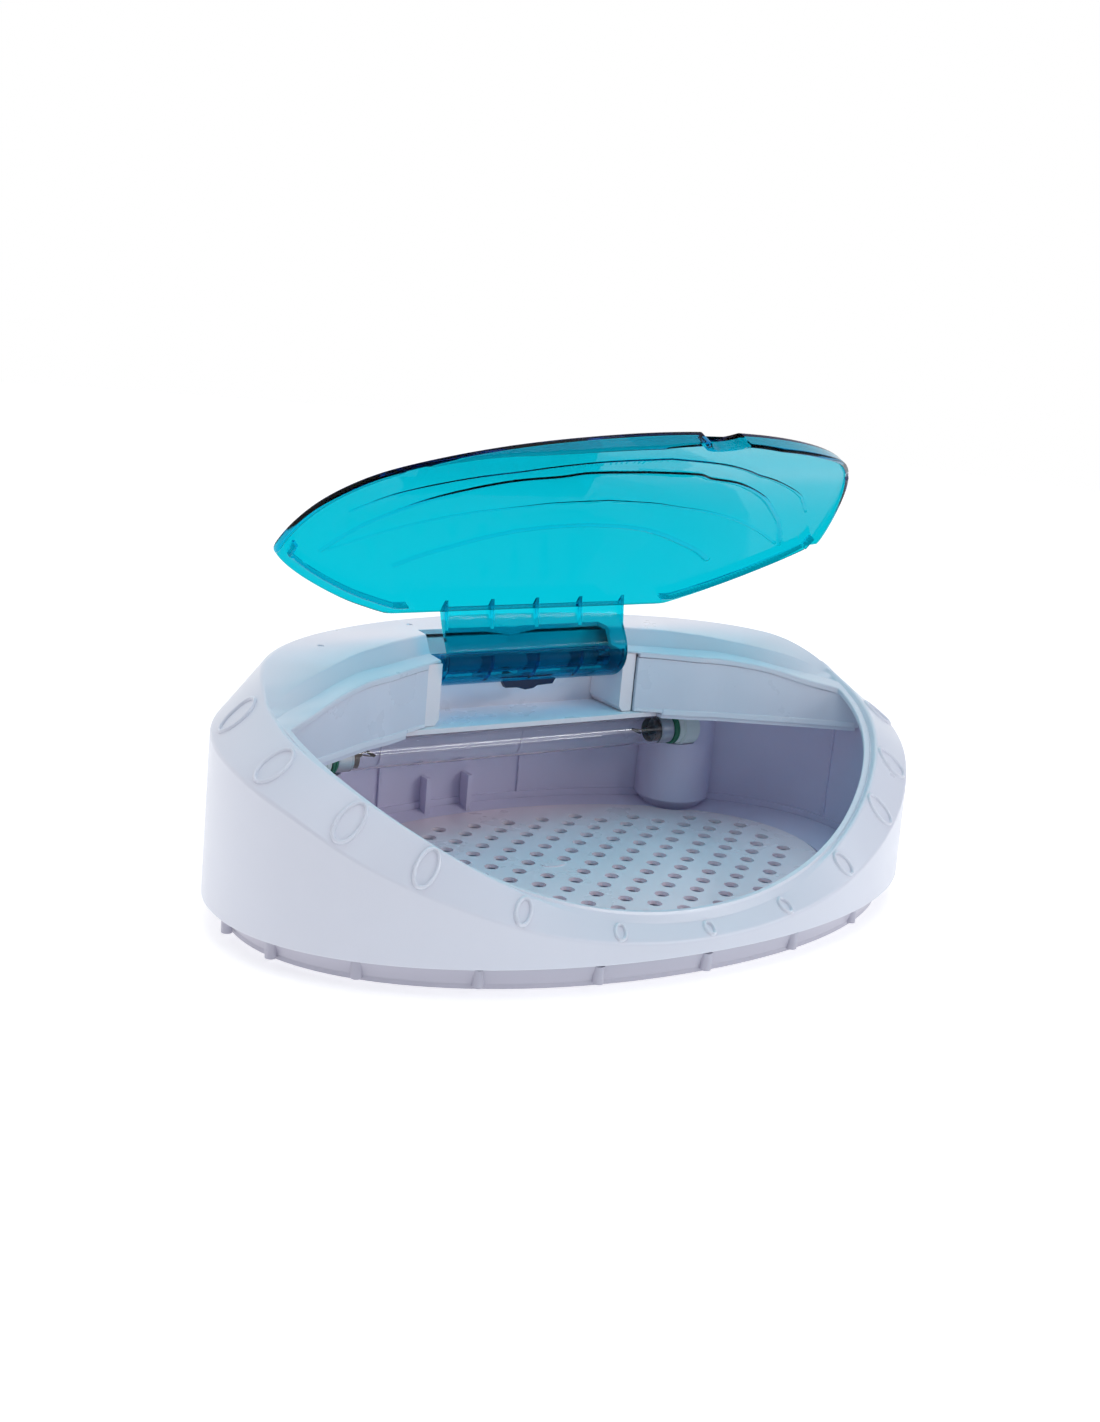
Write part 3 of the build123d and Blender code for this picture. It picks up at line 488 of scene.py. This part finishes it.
STEEL_M = metal("screw_steel", (0.55, 0.55, 0.57), rough=0.25)
BRASS_M = metal("pin_brass", (0.72, 0.55, 0.28), rough=0.28)
QUARTZ = clear("quartz_glass", (1, 1, 1), 0, rough=0.01, ior=1.46, wave=0.0, shadow=(0.97, 0.97, 0.98), spec=1.0)
TEAL = clear("lid_teal", (0.0, 0.80, 0.94), 250.0, rough=0.03, ior=1.12, wave=0.01, shadow=(0.82, 0.95, 1.0), surface=(0.004, 0.583, 0.628), spec=0.5)
TEAL_ARM = clear("arm_teal", (0.0, 0.80, 0.93), 300.0, rough=0.03, ior=1.15, wave=0.0, shadow=(0.82, 0.95, 1.0), surface=(0.004, 0.595, 0.66), spec=0.5)
STRIP_M = plastic("panel_strip", (0.84, 0.86, 0.92), rough=0.3, vary=0.02, grain=0.05, wave=0.01)
TAB_M = plastic("tab_navy", (0.002, 0.022, 0.07), rough=0.22, vary=0.1, grain=0.02, spec=0.2)


def paint(ob, mat):
    ob.data.materials.clear()
    ob.data.materials.append(mat)


# ================================================================ casing
def casing_corners(th):
    rb, zb, r3, z3, r4, z4, r5, z5 = rim(th)
    rw, rc = float(radius(th, WALL)), float(radius(th, CREASE))
    zc = float(z_crease(-rc * math.cos(th) / CREASE[1]))
    deg = math.degrees(th)
    w = smooth(deg, 86, 100)
    soft = smooth(deg, 88, 135)
    p0, p1, p2, p3 = (rw, SEAM_Z), (rc, zc), (rb, zb), (r3, z3)
    q1, q2 = miter(p0, p1, p2, SKIN), miter(p1, p2, p3, SKIN)
    pts = [p0, p1, p2, p3, (r4, z4), (r5, z5), (r5, z5 - 3.2), (r5 + 1.9, z5 - 3.2), (r5 + 2.0, z5 - 2.4),
           (r4 + 0.3 + 1.0 * w, z4 - 2.5), (min(r3 + 0.5 + 0.7 * w, q2[0] - 0.25), z3 - 2.5), q2, q1,
           (rw - SKIN - 0.1, SEAM_Z)]
    rad = [0.5, 3.2 + 3.0 * soft, 1.7 + 8.0 * soft, 0.45 + 2.0 * w, 0.3 + 0.9 * w, 1.0, 0.5, 0.1, 0.1, 0.1, 0.1, 0.3, 0.5, 0.2]
    return pts, rad


CASING_SEGS = [3, 8, 8, 4, 3, 6, 3, 1, 1, 1, 1, 1, 1, 1]


def ring_angles():
    half = list(np.arange(0, 84, 1.0)) + list(np.arange(84, 98, 0.3)) + list(np.arange(98, 132, 0.5)) + list(np.arange(132, 180, 1.0))
    half.append(180.0)
    return half + [360 - a for a in half[-2:0:-1]]


def make_casing():
    P = []
    for deg in ring_angles():
        sgn, a = (1, deg) if deg <= 180 else (-1, 360 - deg)
        th = math.radians(a)
        pts, rad = casing_corners(th)
        sec = fillet(pts, rad, CASING_SEGS)
        P.append(np.c_[sgn * sec[:, 0] * math.sin(th), -sec[:, 0] * math.cos(th), sec[:, 1]])
    ob = grid("casing_raw", P, weighted=False)
    cutters = [rounded_prism("c0", [(-h, 20), (h, 20), (h, BAY_BACK), (-h, BAY_BACK)], 60, top, "z", 0.2, 0.6, 1, 3)
               for h, top in ((BAY_HALF + 0.5, 113.6), (SLOT_HALF, 150))]
    for t, w, h, c in ((math.radians(160), 19.4, 13.4, 0.6), (math.radians(200), 10.2, 10.2, 5.09)):
        if c < 2:
            q = rounded_prism("c2", [(-w / 2, -h / 2), (w / 2, -h / 2), (w / 2, h / 2), (-w / 2, h / 2)], -12, 12, "z", 0.2, c, 1, 3)
        else:
            q = prism("c2", [(c * math.cos(2 * math.pi * k / 48), c * math.sin(2 * math.pi * k / 48)) for k in range(48)], -12, 12)
        place(q, wall_matrix(t, 86.5))
        cutters.append(q)
    # small sink marks on the top and the front rim
    for x, y, z, rr in ((-122, 60, 120.6, 1.7), (-62, 113, 126.0, 1.7), (-56.5, 90, 124.2, 1.7), (133, 71, 119.6, 1.7)):
        cutters.append(dimple(x, y, z, rr))
    cut(ob, cutters)
    rings = [oval_ring(d) for d in (0, 15.2, -15.2, 30.5, -30.5, 46.0, -46.0, 60.0, -60.0, 79.0, -79.0, 100.0, -100.0)]
    ob = merged("casing_shell", [ob] + rings)
    shade(ob, 30.0, True)
    paint(ob, WHITE)
    put(ob, "cabinet", "casing_front", "casing_left", "casing_right", "casing_rear_left", "casing_rear_right", slot="casing_white")
    return ob


def top_height(x, y):
    """Height of the casing's top face at x, y."""
    a = math.atan2(abs(x), -y)
    rb, zb, r3, z3, r4, z4, r5, z5 = rim(a)
    r = math.hypot(x, y)
    t = min(max((r - r3) / (rb - r3), 0.0), 1.0)
    return z3 + (zb - z3) * t


def dimple(x, y, z, r):
    """Flat-bottomed round cutter, 0.4 mm into the top face."""
    z = top_height(x, y)
    return prism("c3", [(x + r * math.cos(2 * math.pi * k / 24), y + r * math.sin(2 * math.pi * k / 24)) for k in range(24)], z - 0.4, z + 6)


def wall_matrix(t, z, inset=1.15):
    """Frame on the outer wall: x along the wall, y up, z outward."""
    a, b = WALL[0] - 1.1, WALL[1] - 1.2
    k = (abs(math.sin(t)) ** N + abs(math.cos(t)) ** N) ** (-1 / N)
    x, y = a * math.sin(t) * k, -b * math.cos(t) * k
    nx = math.copysign(abs(x / a) ** (N - 1) / a, x)
    ny = math.copysign(abs(y / b) ** (N - 1) / b, y)
    d = math.hypot(nx, ny)
    nx, ny = nx / d, ny / d
    return Matrix(((-ny, 0, nx, x * S), (nx, 0, ny, y * S), (0, 1, 0, z * S), (0, 0, 0, 1)))


def place(ob, m):
    ob.data.transform(m)
    if m.to_3x3().determinant() < 0:
        ob.data.flip_normals()


def surf(th, v):
    """Point on the bevel band: v runs from 0 at the crease to 1 at the top edge."""
    a, t = abs(th), math.copysign(1.0, th)
    rc, rb = float(radius(a, CREASE)), float(radius(a, BAND))
    pc = np.array([t * rc * math.sin(a), -rc * math.cos(a), float(z_crease(-rc * math.cos(a) / CREASE[1]))])
    pb = np.array([t * rb * math.sin(a), -rb * math.cos(a), float(z_band(-rb * math.cos(a) / BAND[1]))])
    return pc * (1 - v) + pb * v


def oval_ring(deg):
    """Low rounded oval ring moulded on the bevel band."""
    t = math.radians(deg)
    c = (np.array([CREASE[0] * math.sin(t), -CREASE[1] * math.cos(t)]) + np.array([BAND[0] * math.sin(t), -BAND[1] * math.cos(t)])) / 2
    th = math.atan2(c[0], -c[1])
    o = surf(th, 0.5)
    up = surf(th, 1.0) - surf(th, 0.0)
    h = np.linalg.norm(up)
    half, wide = min(0.44 * h, 11.5) - 0.85, min(1.6 + 0.165 * h, 6.6) - 0.85
    dl = np.linalg.norm(surf(th + 0.01, 0.5) - surf(th - 0.01, 0.5)) / 0.02
    prof = [(-1.0, -1.0), (-0.98, 0.15), (-0.8, 0.7), (-0.45, 1.12), (0, 1.25), (0.45, 1.12), (0.8, 0.7), (0.98, 0.15), (1.0, -1.0)]
    P = []
    for k in range(56):
        a = 2 * math.pi * k / 56
        row = []
        nx, nz = math.cos(a) / wide, math.sin(a) / half
        d = math.hypot(nx, nz)
        for off, hh in prof:
            u = wide * math.cos(a) + off * nx / d
            v = half * math.sin(a) + off * nz / d
            tt, vv = th + u / dl, 0.5 + v / h
            q = surf(tt, vv)
            nrm = np.cross(surf(tt + 0.01, vv) - surf(tt - 0.01, vv), surf(tt, vv + 0.05) - surf(tt, vv - 0.05))
            nrm /= np.linalg.norm(nrm)
            if nrm @ np.array([q[0], q[1], 60.0]) < 0:
                nrm = -nrm
            row.append(q + nrm * hh)
        P.append(row)
    return grid("ring", P, sharp=0, weighted=False)


make_casing()

# ================================================================ lid
CO, SO = math.cos(LID_OPEN), math.sin(LID_OPEN)


def opened(P):
    """Turns points of the shut lid about the hinge into the open pose."""
    P = np.asarray(P, float).copy()
    y, z = P[..., 1] - HINGE_Y, P[..., 2] - HINGE_Z
    P[..., 1], P[..., 2] = HINGE_Y + y * CO + z * SO, HINGE_Z - y * SO + z * CO
    return P


def lid_low(y):
    return np.minimum(z_band(np.maximum(y / LID[1], -1.0)) - 1.3, under_y(y) - 0.8)


def lid_top(y):
    return under_y(y) + LID_T * 1.12


def lid_outline():
    """Plan outline of the shut lid, anticlockwise from the left tip, with the depth of the skirt at each point."""
    pts, skirt = [], []
    for k in range(181):
        th = math.radians(-LID_SWEEP + 2 * LID_SWEEP * k / 180)
        r = float(radius(th, LID, LID_N))
        y = LID_Y - r * math.cos(th)
        pts.append((r * math.sin(th), y))
        skirt.append(float(under_y(y) - lid_low(y)))
    xs = np.concatenate([np.linspace(163.4, 85, 46), np.linspace(80, -80, 33), np.linspace(-85, -163.4, 46)])
    for x in xs:
        pts.append((x, float(lid_rear(abs(x)))))
        skirt.append(max(0.0, 3.4 * (1 - (164.8 - abs(x)) / 3.0)))
    return np.array(pts), np.array(skirt)


def make_lid():
    pts, skirt = lid_outline()
    # ease the tips and the corners of the rear edge
    for _ in range(2):
        q = (np.roll(pts, 1, 0) + 2 * pts + np.roll(pts, -1, 0)) / 4
        m = np.zeros(len(pts), bool)
        for i, p in enumerate(pts):
            if abs(abs(p[0]) - 164.4) < 1.6 and p[1] > -20 or abs(abs(p[0]) - 85) < 5:
                m[i] = True
        pts[m] = q[m]
    t = np.roll(pts, -1, 0) - np.roll(pts, 1, 0)
    t /= np.linalg.norm(t, axis=1, keepdims=True)
    nrm = np.c_[-t[:, 1], t[:, 0]]
    centre = np.array([0.0, -45.0])
    nrm[np.sum((centre - pts) * nrm, 1) < 0] *= -1
    inner = [0.985, 0.965, 0.94, 0.91, 0.87, 0.82, 0.76, 0.69, 0.61, 0.52, 0.42, 0.32, 0.22, 0.12, 0.05]
    rows = []
    for p, n, d in zip(pts, nrm, skirt):
        p7 = p + n * 7
        zt0, zt7 = float(lid_top(p[1])), float(lid_top(p7[1]))
        zu2, zu7 = float(under_y((p + n * 2.2)[1])), float(under_y(p7[1]))
        low = float(under_y(p[1])) - d
        r1 = 1.25 + 1.9 * min(d, 3.0) / 3.0
        sec = [(7, zt7), (0, zt0), (0, low), (2.2, low + (zu2 - float(under_y(p[1]))) * (0 if d > 1 else 1)), (2.2, zu2), (7, zu7)]
        f = fillet(sec, [0, r1, 0.9, 0.9, 1.6, 0], [0, 7, 4, 4, 5, 0], closed=False)
        row = []
        for k in inner[::-1]:
            q = centre + (p7 - centre) * k
            row.append((q[0], q[1], float(lid_top(q[1]))))
        for ins, z in f:
            q = p + n * ins
            row.append((q[0], q[1], z))
        for k in inner:
            q = centre + (p7 - centre) * k
            row.append((q[0], q[1], float(under_y(q[1]))))
        rows.append(row)
    P = np.array(rows)
    nu, nv = P.shape[:2]
    verts = [tuple(v) for v in P.reshape(-1, 3)]
    top, bot = len(verts), len(verts) + 1
    verts += [(centre[0], centre[1], float(lid_top(centre[1]))), (centre[0], centre[1], float(under_y(centre[1])))]
    faces = []
    for i in range(nu):
        j = (i + 1) % nu
        faces.append((top, i * nv, j * nv))
        faces.append((bot, j * nv + nv - 1, i * nv + nv - 1))
        for k in range(nv - 1):
            faces.append((i * nv + k, i * nv + k + 1, j * nv + k + 1, j * nv + k))
    ob = new_object("lid_shell_body", verts, faces, sharp=0, weighted=False)
    bm = bmesh.new()
    bm.from_mesh(ob.data)
    bmesh.ops.remove_doubles(bm, verts=bm.verts, dist=2e-6)
    bmesh.ops.recalc_face_normals(bm, faces=bm.faces)
    bm.to_mesh(ob.data)
    bm.free()
    ny = LID_Y - LID[1] - 6.0
    # notch for the thumb with its curved wall
    c1 = prism("n1", [(2 + 13 * math.cos(2 * math.pi * k / 72), ny + 13 * math.sin(2 * math.pi * k / 72)) for k in range(72)], 10, 39)
    cut(ob, [c1])
    sec = []
    for k in range(33):
        a = math.radians(-60 + 120 * k / 32)
        row = []
        for R, w in ((13.0, 0), (13.0, 1), (15.2, 1), (15.2, 0)):
            x, y = 2 + R * math.sin(a), ny + R * math.cos(a)
            row.append((x, y, float(under_y(y)) + 1.4 if w else float(lid_low(y)) + 0.4))
        sec.append(row)
    thumb = grid("n2", sec, False, True, caps=True, sharp=0, weighted=False)
    return ob, [thumb]


def ridge(points, wide, depth, lift=0.7, soft=False):
    """Rounded rib along a line on the inner face of the shut lid."""
    mid = np.array(points, float)
    t = np.gradient(mid, axis=0)
    t /= np.linalg.norm(t, axis=1, keepdims=True)
    n = np.c_[-t[:, 1], t[:, 0]]
    half = [(-0.5, lift), (-0.5, -0.7 * depth), (-0.36, -0.92 * depth)]
    if soft:
        half = [(-0.5, lift), (-0.5, 0.1), (-0.44, -0.2 * depth), (-0.33, -0.56 * depth), (-0.2, -0.84 * depth), (-0.09, -0.97 * depth)]
    prof = half + [(0, -depth)] + [(-o, z) for o, z in half[::-1]]
    P = []
    for m, nn in zip(mid, n):
        row = []
        for o, z in prof:
            q = m + nn * o * wide
            row.append((q[0], q[1], float(under_y(q[1])) + z))
        P.append(row)
    return grid("ridge", P, False, True, caps=True, sharp=40, weighted=False)


RIDGES = [
    ([(0, -29.2), (17, -28), (34, -25.8), (50, -21.5), (70, -13.5), (85, -6.5), (97, 1)], 3.6, 1.3),
    ([(0, -49.7), (32, -47), (44, -44.6), (68, -40.3), (77, -38), (97, -31.5), (120, -21), (136, -12)], 2.0, 0.7),
    ([(0, -79), (32, -77.2), (44, -72.5), (62, -68.7), (94, -54.5), (114, -40), (125, -30.5), (134, -20), (140, -11)], 3.2, 1.2),
    ([(0, -94.6), (28, -91), (38, -89), (57, -83), (71, -77), (80, -74), (100, -65.6), (120, -55), (137, -40)], 2.0, 0.7),
]


def build_lid():
    ob, extra = make_lid()
    for line, wide, depth in RIDGES:
        f = mono([q[0] for q in line], [q[1] for q in line])
        top = line[-1][0]
        xs = np.linspace(-top, top, 91)
        extra.append(ridge([(x, float(f(abs(x)))) for x in xs], wide, depth, soft=True))
    for sx in (-1, 1):
        run = [(sx * x, float(lid_rear(x)) - 8.0) for x in np.linspace(79, 155.2, 40)]
        extra.append(ridge(run, 1.5, 5.0))
        leg = [(sx * 156.2, y) for y in np.linspace(float(lid_rear(155.8)) - 7.4, -19.0, 12)]
        extra.append(ridge(leg, 1.5, 5.0))
    for e in extra:
        m = ob.modifiers.new("join", "BOOLEAN")
        m.operation, m.object, m.solver = "UNION", e, "EXACT"
    bake(ob)
    for e in extra:
        bpy.data.objects.remove(e)
    me = ob.data
    co = np.empty(len(me.vertices) * 3)
    me.vertices.foreach_get("co", co)
    co = opened(co.reshape(-1, 3) / S) * S
    me.vertices.foreach_set("co", co.ravel())
    me.update()
    ob.name = "lid_dome"
    shade(ob, 34.0, True)
    paint(ob, TEAL)
    put(ob, "lid", "lid_shell", slot="lid_tint")
    return ob


build_lid()

# ================================================================ lamp
AY, AZ = LAMP[1], LAMP[2]


def tube(name, pts, r, n=10, **kw):
    """Round wire along a line of points, with closed ends."""
    pts = np.array(pts, float)
    t = np.gradient(pts, axis=0)
    t /= np.linalg.norm(t, axis=1, keepdims=True)
    u = np.cross(t[0], (0.3, 0.5, 0.81))
    P = []
    for p, d in zip(pts, t):
        u = u - d * (u @ d)
        u /= np.linalg.norm(u)
        v = np.cross(d, u)
        P.append([p + r * (math.cos(a) * u + math.sin(a) * v) for a in np.linspace(0, 2 * math.pi, n, endpoint=False)])
    return grid(name, P, False, True, caps=True, sharp=50, weighted=False, **kw)


def lathe(name, prof, sg, x0, mat, body="cabinet", nodes=(), slot=None, sharp=35.0):
    """Closed profile of (distance from x0 away from the middle, radius) turned about the lamp's axis."""
    pr = [(x0 + sg * d, r) for d, r in prof]
    ob = lathe_x(name, pr, AY, AZ, 72, True, sharp=sharp)
    paint(ob, mat)
    return put(ob, body, *nodes, slot=slot)


g = GLASS_HALF
glass = lathe_x("lamp_tube", [(LAMP[0] + x, r) for x, r in ((-g + 0.3, 7.0), (-g, 7.3), (-g, 7.6), (-g + 0.3, 7.9), (g - 0.3, 7.9), (g, 7.6), (g, 7.3), (g - 0.3, 7.0))], AY, AZ, 96, True, sharp=50)
paint(glass, QUARTZ)
put(glass, "cabinet", "lamp_glass", slot="quartz")
for tag, sg in (("right", 1), ("left", -1)):
    e = LAMP[0] + sg * GLASS_HALF
    L = CAP_L
    lathe("lamp_cap_%s_shell" % tag, [(0.1, 7.25), (0.1, 8.0), (0.25, 8.1), (0.9, 8.1), (1.2, 7.92), (1.7, 7.92), (2.0, 8.1), (L - 1.0, 8.1),
          (L - 0.35, 7.95), (L, 7.5), (L, 0.3), (L - 1.9, 0.3), (L - 2.0, 7.25)], sg, e, CAP_MET, nodes=("lamp_cap_" + tag,), slot="lamp_cap")
    # darkened band inside the end of the tube
    lathe("lamp_end_film_" + tag, [(-0.2, 6.96), (-4.2 if sg > 0 else -3.2, 6.96), (-4.3 if sg > 0 else -3.3, 6.9), (-4.2 if sg > 0 else -3.2, 6.84), (-0.2, 6.84)], sg, e, CATHODE_M, slot="cathode")
    lathe("holder_gasket_" + tag, [(L + 0.25, 4.7), (L + 0.25, 8.5), (L + 0.6, 8.95), (L + 1.3, 9.0), (L + 1.6, 8.6), (L + 1.9, 8.6), (L + 2.2, 9.0), (L + 2.9, 8.95), (L + 3.2, 8.5), (L + 3.2, 4.7)],
          sg, e, GREEN_M, nodes=("holder_seal_" + tag,), slot="seal_green")
    lathe("holder_body_" + tag, [(L + 3.4, 3.9), (L + 3.4, 7.9), (L + 3.8, 8.5), (L + 6.0, 8.6), (L + 6.3, 8.2), (L + 6.8, 8.2), (L + 7.1, 9.5), (L + 7.4, 9.7), (L + 16.6, 9.7),
          (L + 17.0, 9.3), (L + 17.0, 0.3), (L + 8.2, 0.3), (L + 8.1, 3.9)], sg, e, HOLDER_M, nodes=("lampholder_" + tag,), slot="holder")
    # electrode: stem, two lead wires and the coil between them
    stem = lathe_x("stem", [(e + sg * 4.7, 0.2), (e + sg * 4.7, 2.3), (e + sg * 4.2, 2.6), (e - sg * 2.0, 2.5), (e - sg * 5.0, 1.6), (e - sg * 7.0, 1.3), (e - sg * 7.6, 0.9), (e - sg * 7.7, 0.2)], AY, AZ, 32, True, sharp=40)
    bits = [stem]
    for sy in (-1, 1):
        bits.append(tube("lead", [(e - sg * 7.0, AY + sy * 0.7, AZ), (e - sg * 8.5, AY + sy * 1.5, AZ), (e - sg * 10.5, AY + sy * 3.2, AZ), (e - sg * 13.4, AY + sy * 3.9, AZ)], 0.32))
    coil = [(e - sg * (13.0 + 0.62 * math.cos(a)), AY - 4.2 + 8.4 * a / (2 * math.pi * 9), AZ + 0.62 * math.sin(a)) for a in np.linspace(0, 2 * math.pi * 9, 150)]
    bits.append(tube("coil", coil, 0.2, 6))
    ca = merged("electrode_" + tag, bits)
    paint(ca, CATHODE_M)
    put(ca, "cabinet", "lamp_cathode_" + tag, slot="cathode")

# ================================================================ hood trim
for tag, sx in (("right", 1), ("left", -1)):
    for part, xs, z0 in (("a", np.linspace(66.4, 80.2, 6), 80.4), ("b", np.linspace(81.0, 176.0, 40), 79.3)):
        P = []
        for x in xs:
            y = float(hood_y(x))
            t = np.array([1.0, float(hood_y(x + 0.5) - hood_y(x - 0.5))])
            t /= np.linalg.norm(t)
            n = np.array([t[1], -t[0]])
            row = []
            for o, z in fillet([(-0.9, z0), (0.35, z0), (0.35, 82.4), (-0.9, 82.4)], [0.05, 0.25, 0.25, 0.05], [1, 3, 3, 1]):
                q = np.array([x, y + 0.7]) + n * o
                row.append((sx * q[0], q[1], z))
            P.append(row)
        st = grid("hood_strip_%s_%s" % (tag, part), P, False, True, caps=True)
        paint(st, STRIP_M)
        put(st, "cabinet", slot="liner")

# ================================================================ the rest of the CAD nodes
LOOK = {
    "base_pan": BASE, "hood_pan": PANEL_M, "hood_panel_left": PANEL_M, "hood_panel_right": PANEL_M,
    "hinge_bay": BAY_WHITE_PAINTED_LIGHT_M, "bracket_left": BAY_WHITE_PAINTED_LIGHT_M, "bracket_right": BAY_WHITE_PAINTED_LIGHT_M, "lid_arm": TEAL_ARM,
    "interlock_tab": TAB_M, "tray": TRAY_M, "ballast_board": BOARD_M, "ballast_choke": CHOKE_M,
    "ballast_capacitor": CAPA_M,
}
EDGE = {"base_pan": 0.5, "hood_panel_left": 0.3, "hood_panel_right": 0.3, "hood_pan": 0.3, "hinge_bay": 0.5,
        "bracket_left": 0.5, "bracket_right": 0.5, "lid_arm": 0.35, "interlock_tab": 0.3, "tray": 0.3,
        "chamber_column_left": 0.6, "chamber_column_right": 0.6, "chamber_wall_left": 0.25, "chamber_wall_right": 0.25,
        "chamber_floor": 0.25, "cord_gland": 0.5, "switch_bezel": 0.4, "switch_rocker": 0.4, "ballast_choke": 0.5,
        "ballast_capacitor": 0.6, "foot_front_left": 0.5, "foot_front_right": 0.5, "foot_rear_left": 0.5, "foot_rear_right": 0.5}
for name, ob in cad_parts.items():
    if name in LOOK:
        m = LOOK[name]
    elif name.startswith(("screw", "hinge_pin")):
        m = STEEL_M
    elif name.startswith("lamp_pin"):
        m = BRASS_M
    elif name.startswith("chamber_"):
        m = LINER_M
    elif name.startswith("casing"):
        m = WHITE
    elif name.startswith("foot"):
        m = RUBBER_M
    else:
        m = BLACK_M
    paint(ob, m)
    if name in EDGE:
        bv = ob.modifiers.new("edge", "BEVEL")
        bv.width = EDGE[name] * S
        bv.segments = 3
        bv.limit_method = "ANGLE"
        bv.angle_limit = math.radians(38)
        bv.use_clamp_overlap = True
        bv.harden_normals = True
        wn = ob.modifiers.new("even", "WEIGHTED_NORMAL")
        wn.keep_sharp = False
        wn.weight = 60

# ================================================================ stage, lights, camera
ring = [(2300 * math.cos(2 * math.pi * k / 96), 600 + 2300 * math.sin(2 * math.pi * k / 96), 0) for k in range(96)]
floor = new_object("floor", ring, [tuple(range(96))], sharp=0, weighted=False)
fm = Net("floor_white")
fd = fm.node("BsdfPrincipled")
fd.inputs["Base Color"].default_value = (0.72, 0.72, 0.725, 1)
fd.inputs["Roughness"].default_value = 0.7
fd.inputs["Emission Color"].default_value = (1.0, 1.0, 1.0, 1)
fd.inputs["Emission Strength"].default_value = 0.56
fm.link(fd.outputs["BSDF"], fm.out.inputs["Surface"])
paint(floor, fm.mat)

world = bpy.data.worlds.new("studio")
bpy.context.scene.world = world
world.use_nodes = True
wt = world.node_tree
bg = wt.nodes["Background"]
wc = wt.nodes.new("ShaderNodeTexCoord")
sep = wt.nodes.new("ShaderNodeSeparateXYZ")
wt.links.new(wc.outputs["Generated"], sep.inputs["Vector"])
ramp = wt.nodes.new("ShaderNodeValToRGB")
mr = wt.nodes.new("ShaderNodeMapRange")
mr.inputs["From Min"].default_value, mr.inputs["From Max"].default_value = -1.0, 1.0
wt.links.new(sep.outputs["Y"], mr.inputs["Value"])
wt.links.new(mr.outputs["Result"], ramp.inputs["Fac"])
els = ramp.color_ramp.elements
els[0].position, els[0].color = 0.10, (0.21, 0.23, 0.30, 1)
els[1].position, els[1].color = 0.74, (1.0, 1.0, 1.0, 1)
mid = els.new(0.50)
mid.color = (0.30, 0.32, 0.39, 1)
wt.links.new(ramp.outputs["Color"], bg.inputs["Color"])
bg.inputs["Strength"].default_value = 1.0


def area(name, loc, target, size, power, color=(1, 1, 1)):
    li = bpy.data.lights.new(name, "AREA")
    li.shape = "RECTANGLE"
    li.size, li.size_y = size
    li.energy = power
    li.color = color
    ob = bpy.data.objects.new(name, li)
    ob.location = loc
    ob.rotation_euler = (Vector(target) - Vector(loc)).to_track_quat("-Z", "Y").to_euler()
    bpy.context.scene.collection.objects.link(ob)
    return ob


area("key", (-0.5, -0.85, 2.1), (0, 0, 0.06), (1.6, 1.2), 7.4, (1.0, 0.985, 0.955))
area("strip", (1.19, -1.54, 1.07), (0, 0, 0.08), (1.2, 0.14), 6.0)
area("fill", (1.6, -1.6, 1.0), (0, 0, 0.08), (1.4, 1.4), 5.2, (0.95, 0.97, 1.0))
area("top", (0.2, 0.1, 2.1), (0, 0, 0.05), (1.8, 1.4), 10.5, (0.95, 0.975, 1.0))

cam = bpy.data.cameras.new("camera")
camo = bpy.data.objects.new("camera", cam)
bpy.context.scene.collection.objects.link(camo)
az, el, roll = (math.radians(v) for v in (-33.84445756, 14.41293639, 5.12262233))
back = Vector((math.sin(az) * math.cos(el), -math.cos(az) * math.cos(el), math.sin(el)))
right = Vector((math.cos(az), math.sin(az), 0.0))
up = right.cross(-back)
r2 = right * math.cos(roll) + up * math.sin(roll)
u2 = -right * math.sin(roll) + up * math.cos(roll)
camo.matrix_world = Matrix(((r2.x, u2.x, back.x, -0.48370326), (r2.y, u2.y, back.y, -0.68751856), (r2.z, u2.z, back.z, 0.31211938), (0, 0, 0, 1)))
cam.lens = 43.1251
cam.sensor_width = 36.0
cam.sensor_fit = "AUTO"
cam.clip_start, cam.clip_end = 0.01, 50.0
bpy.context.scene.camera = camo
bpy.context.scene.view_settings.view_transform = "Standard"
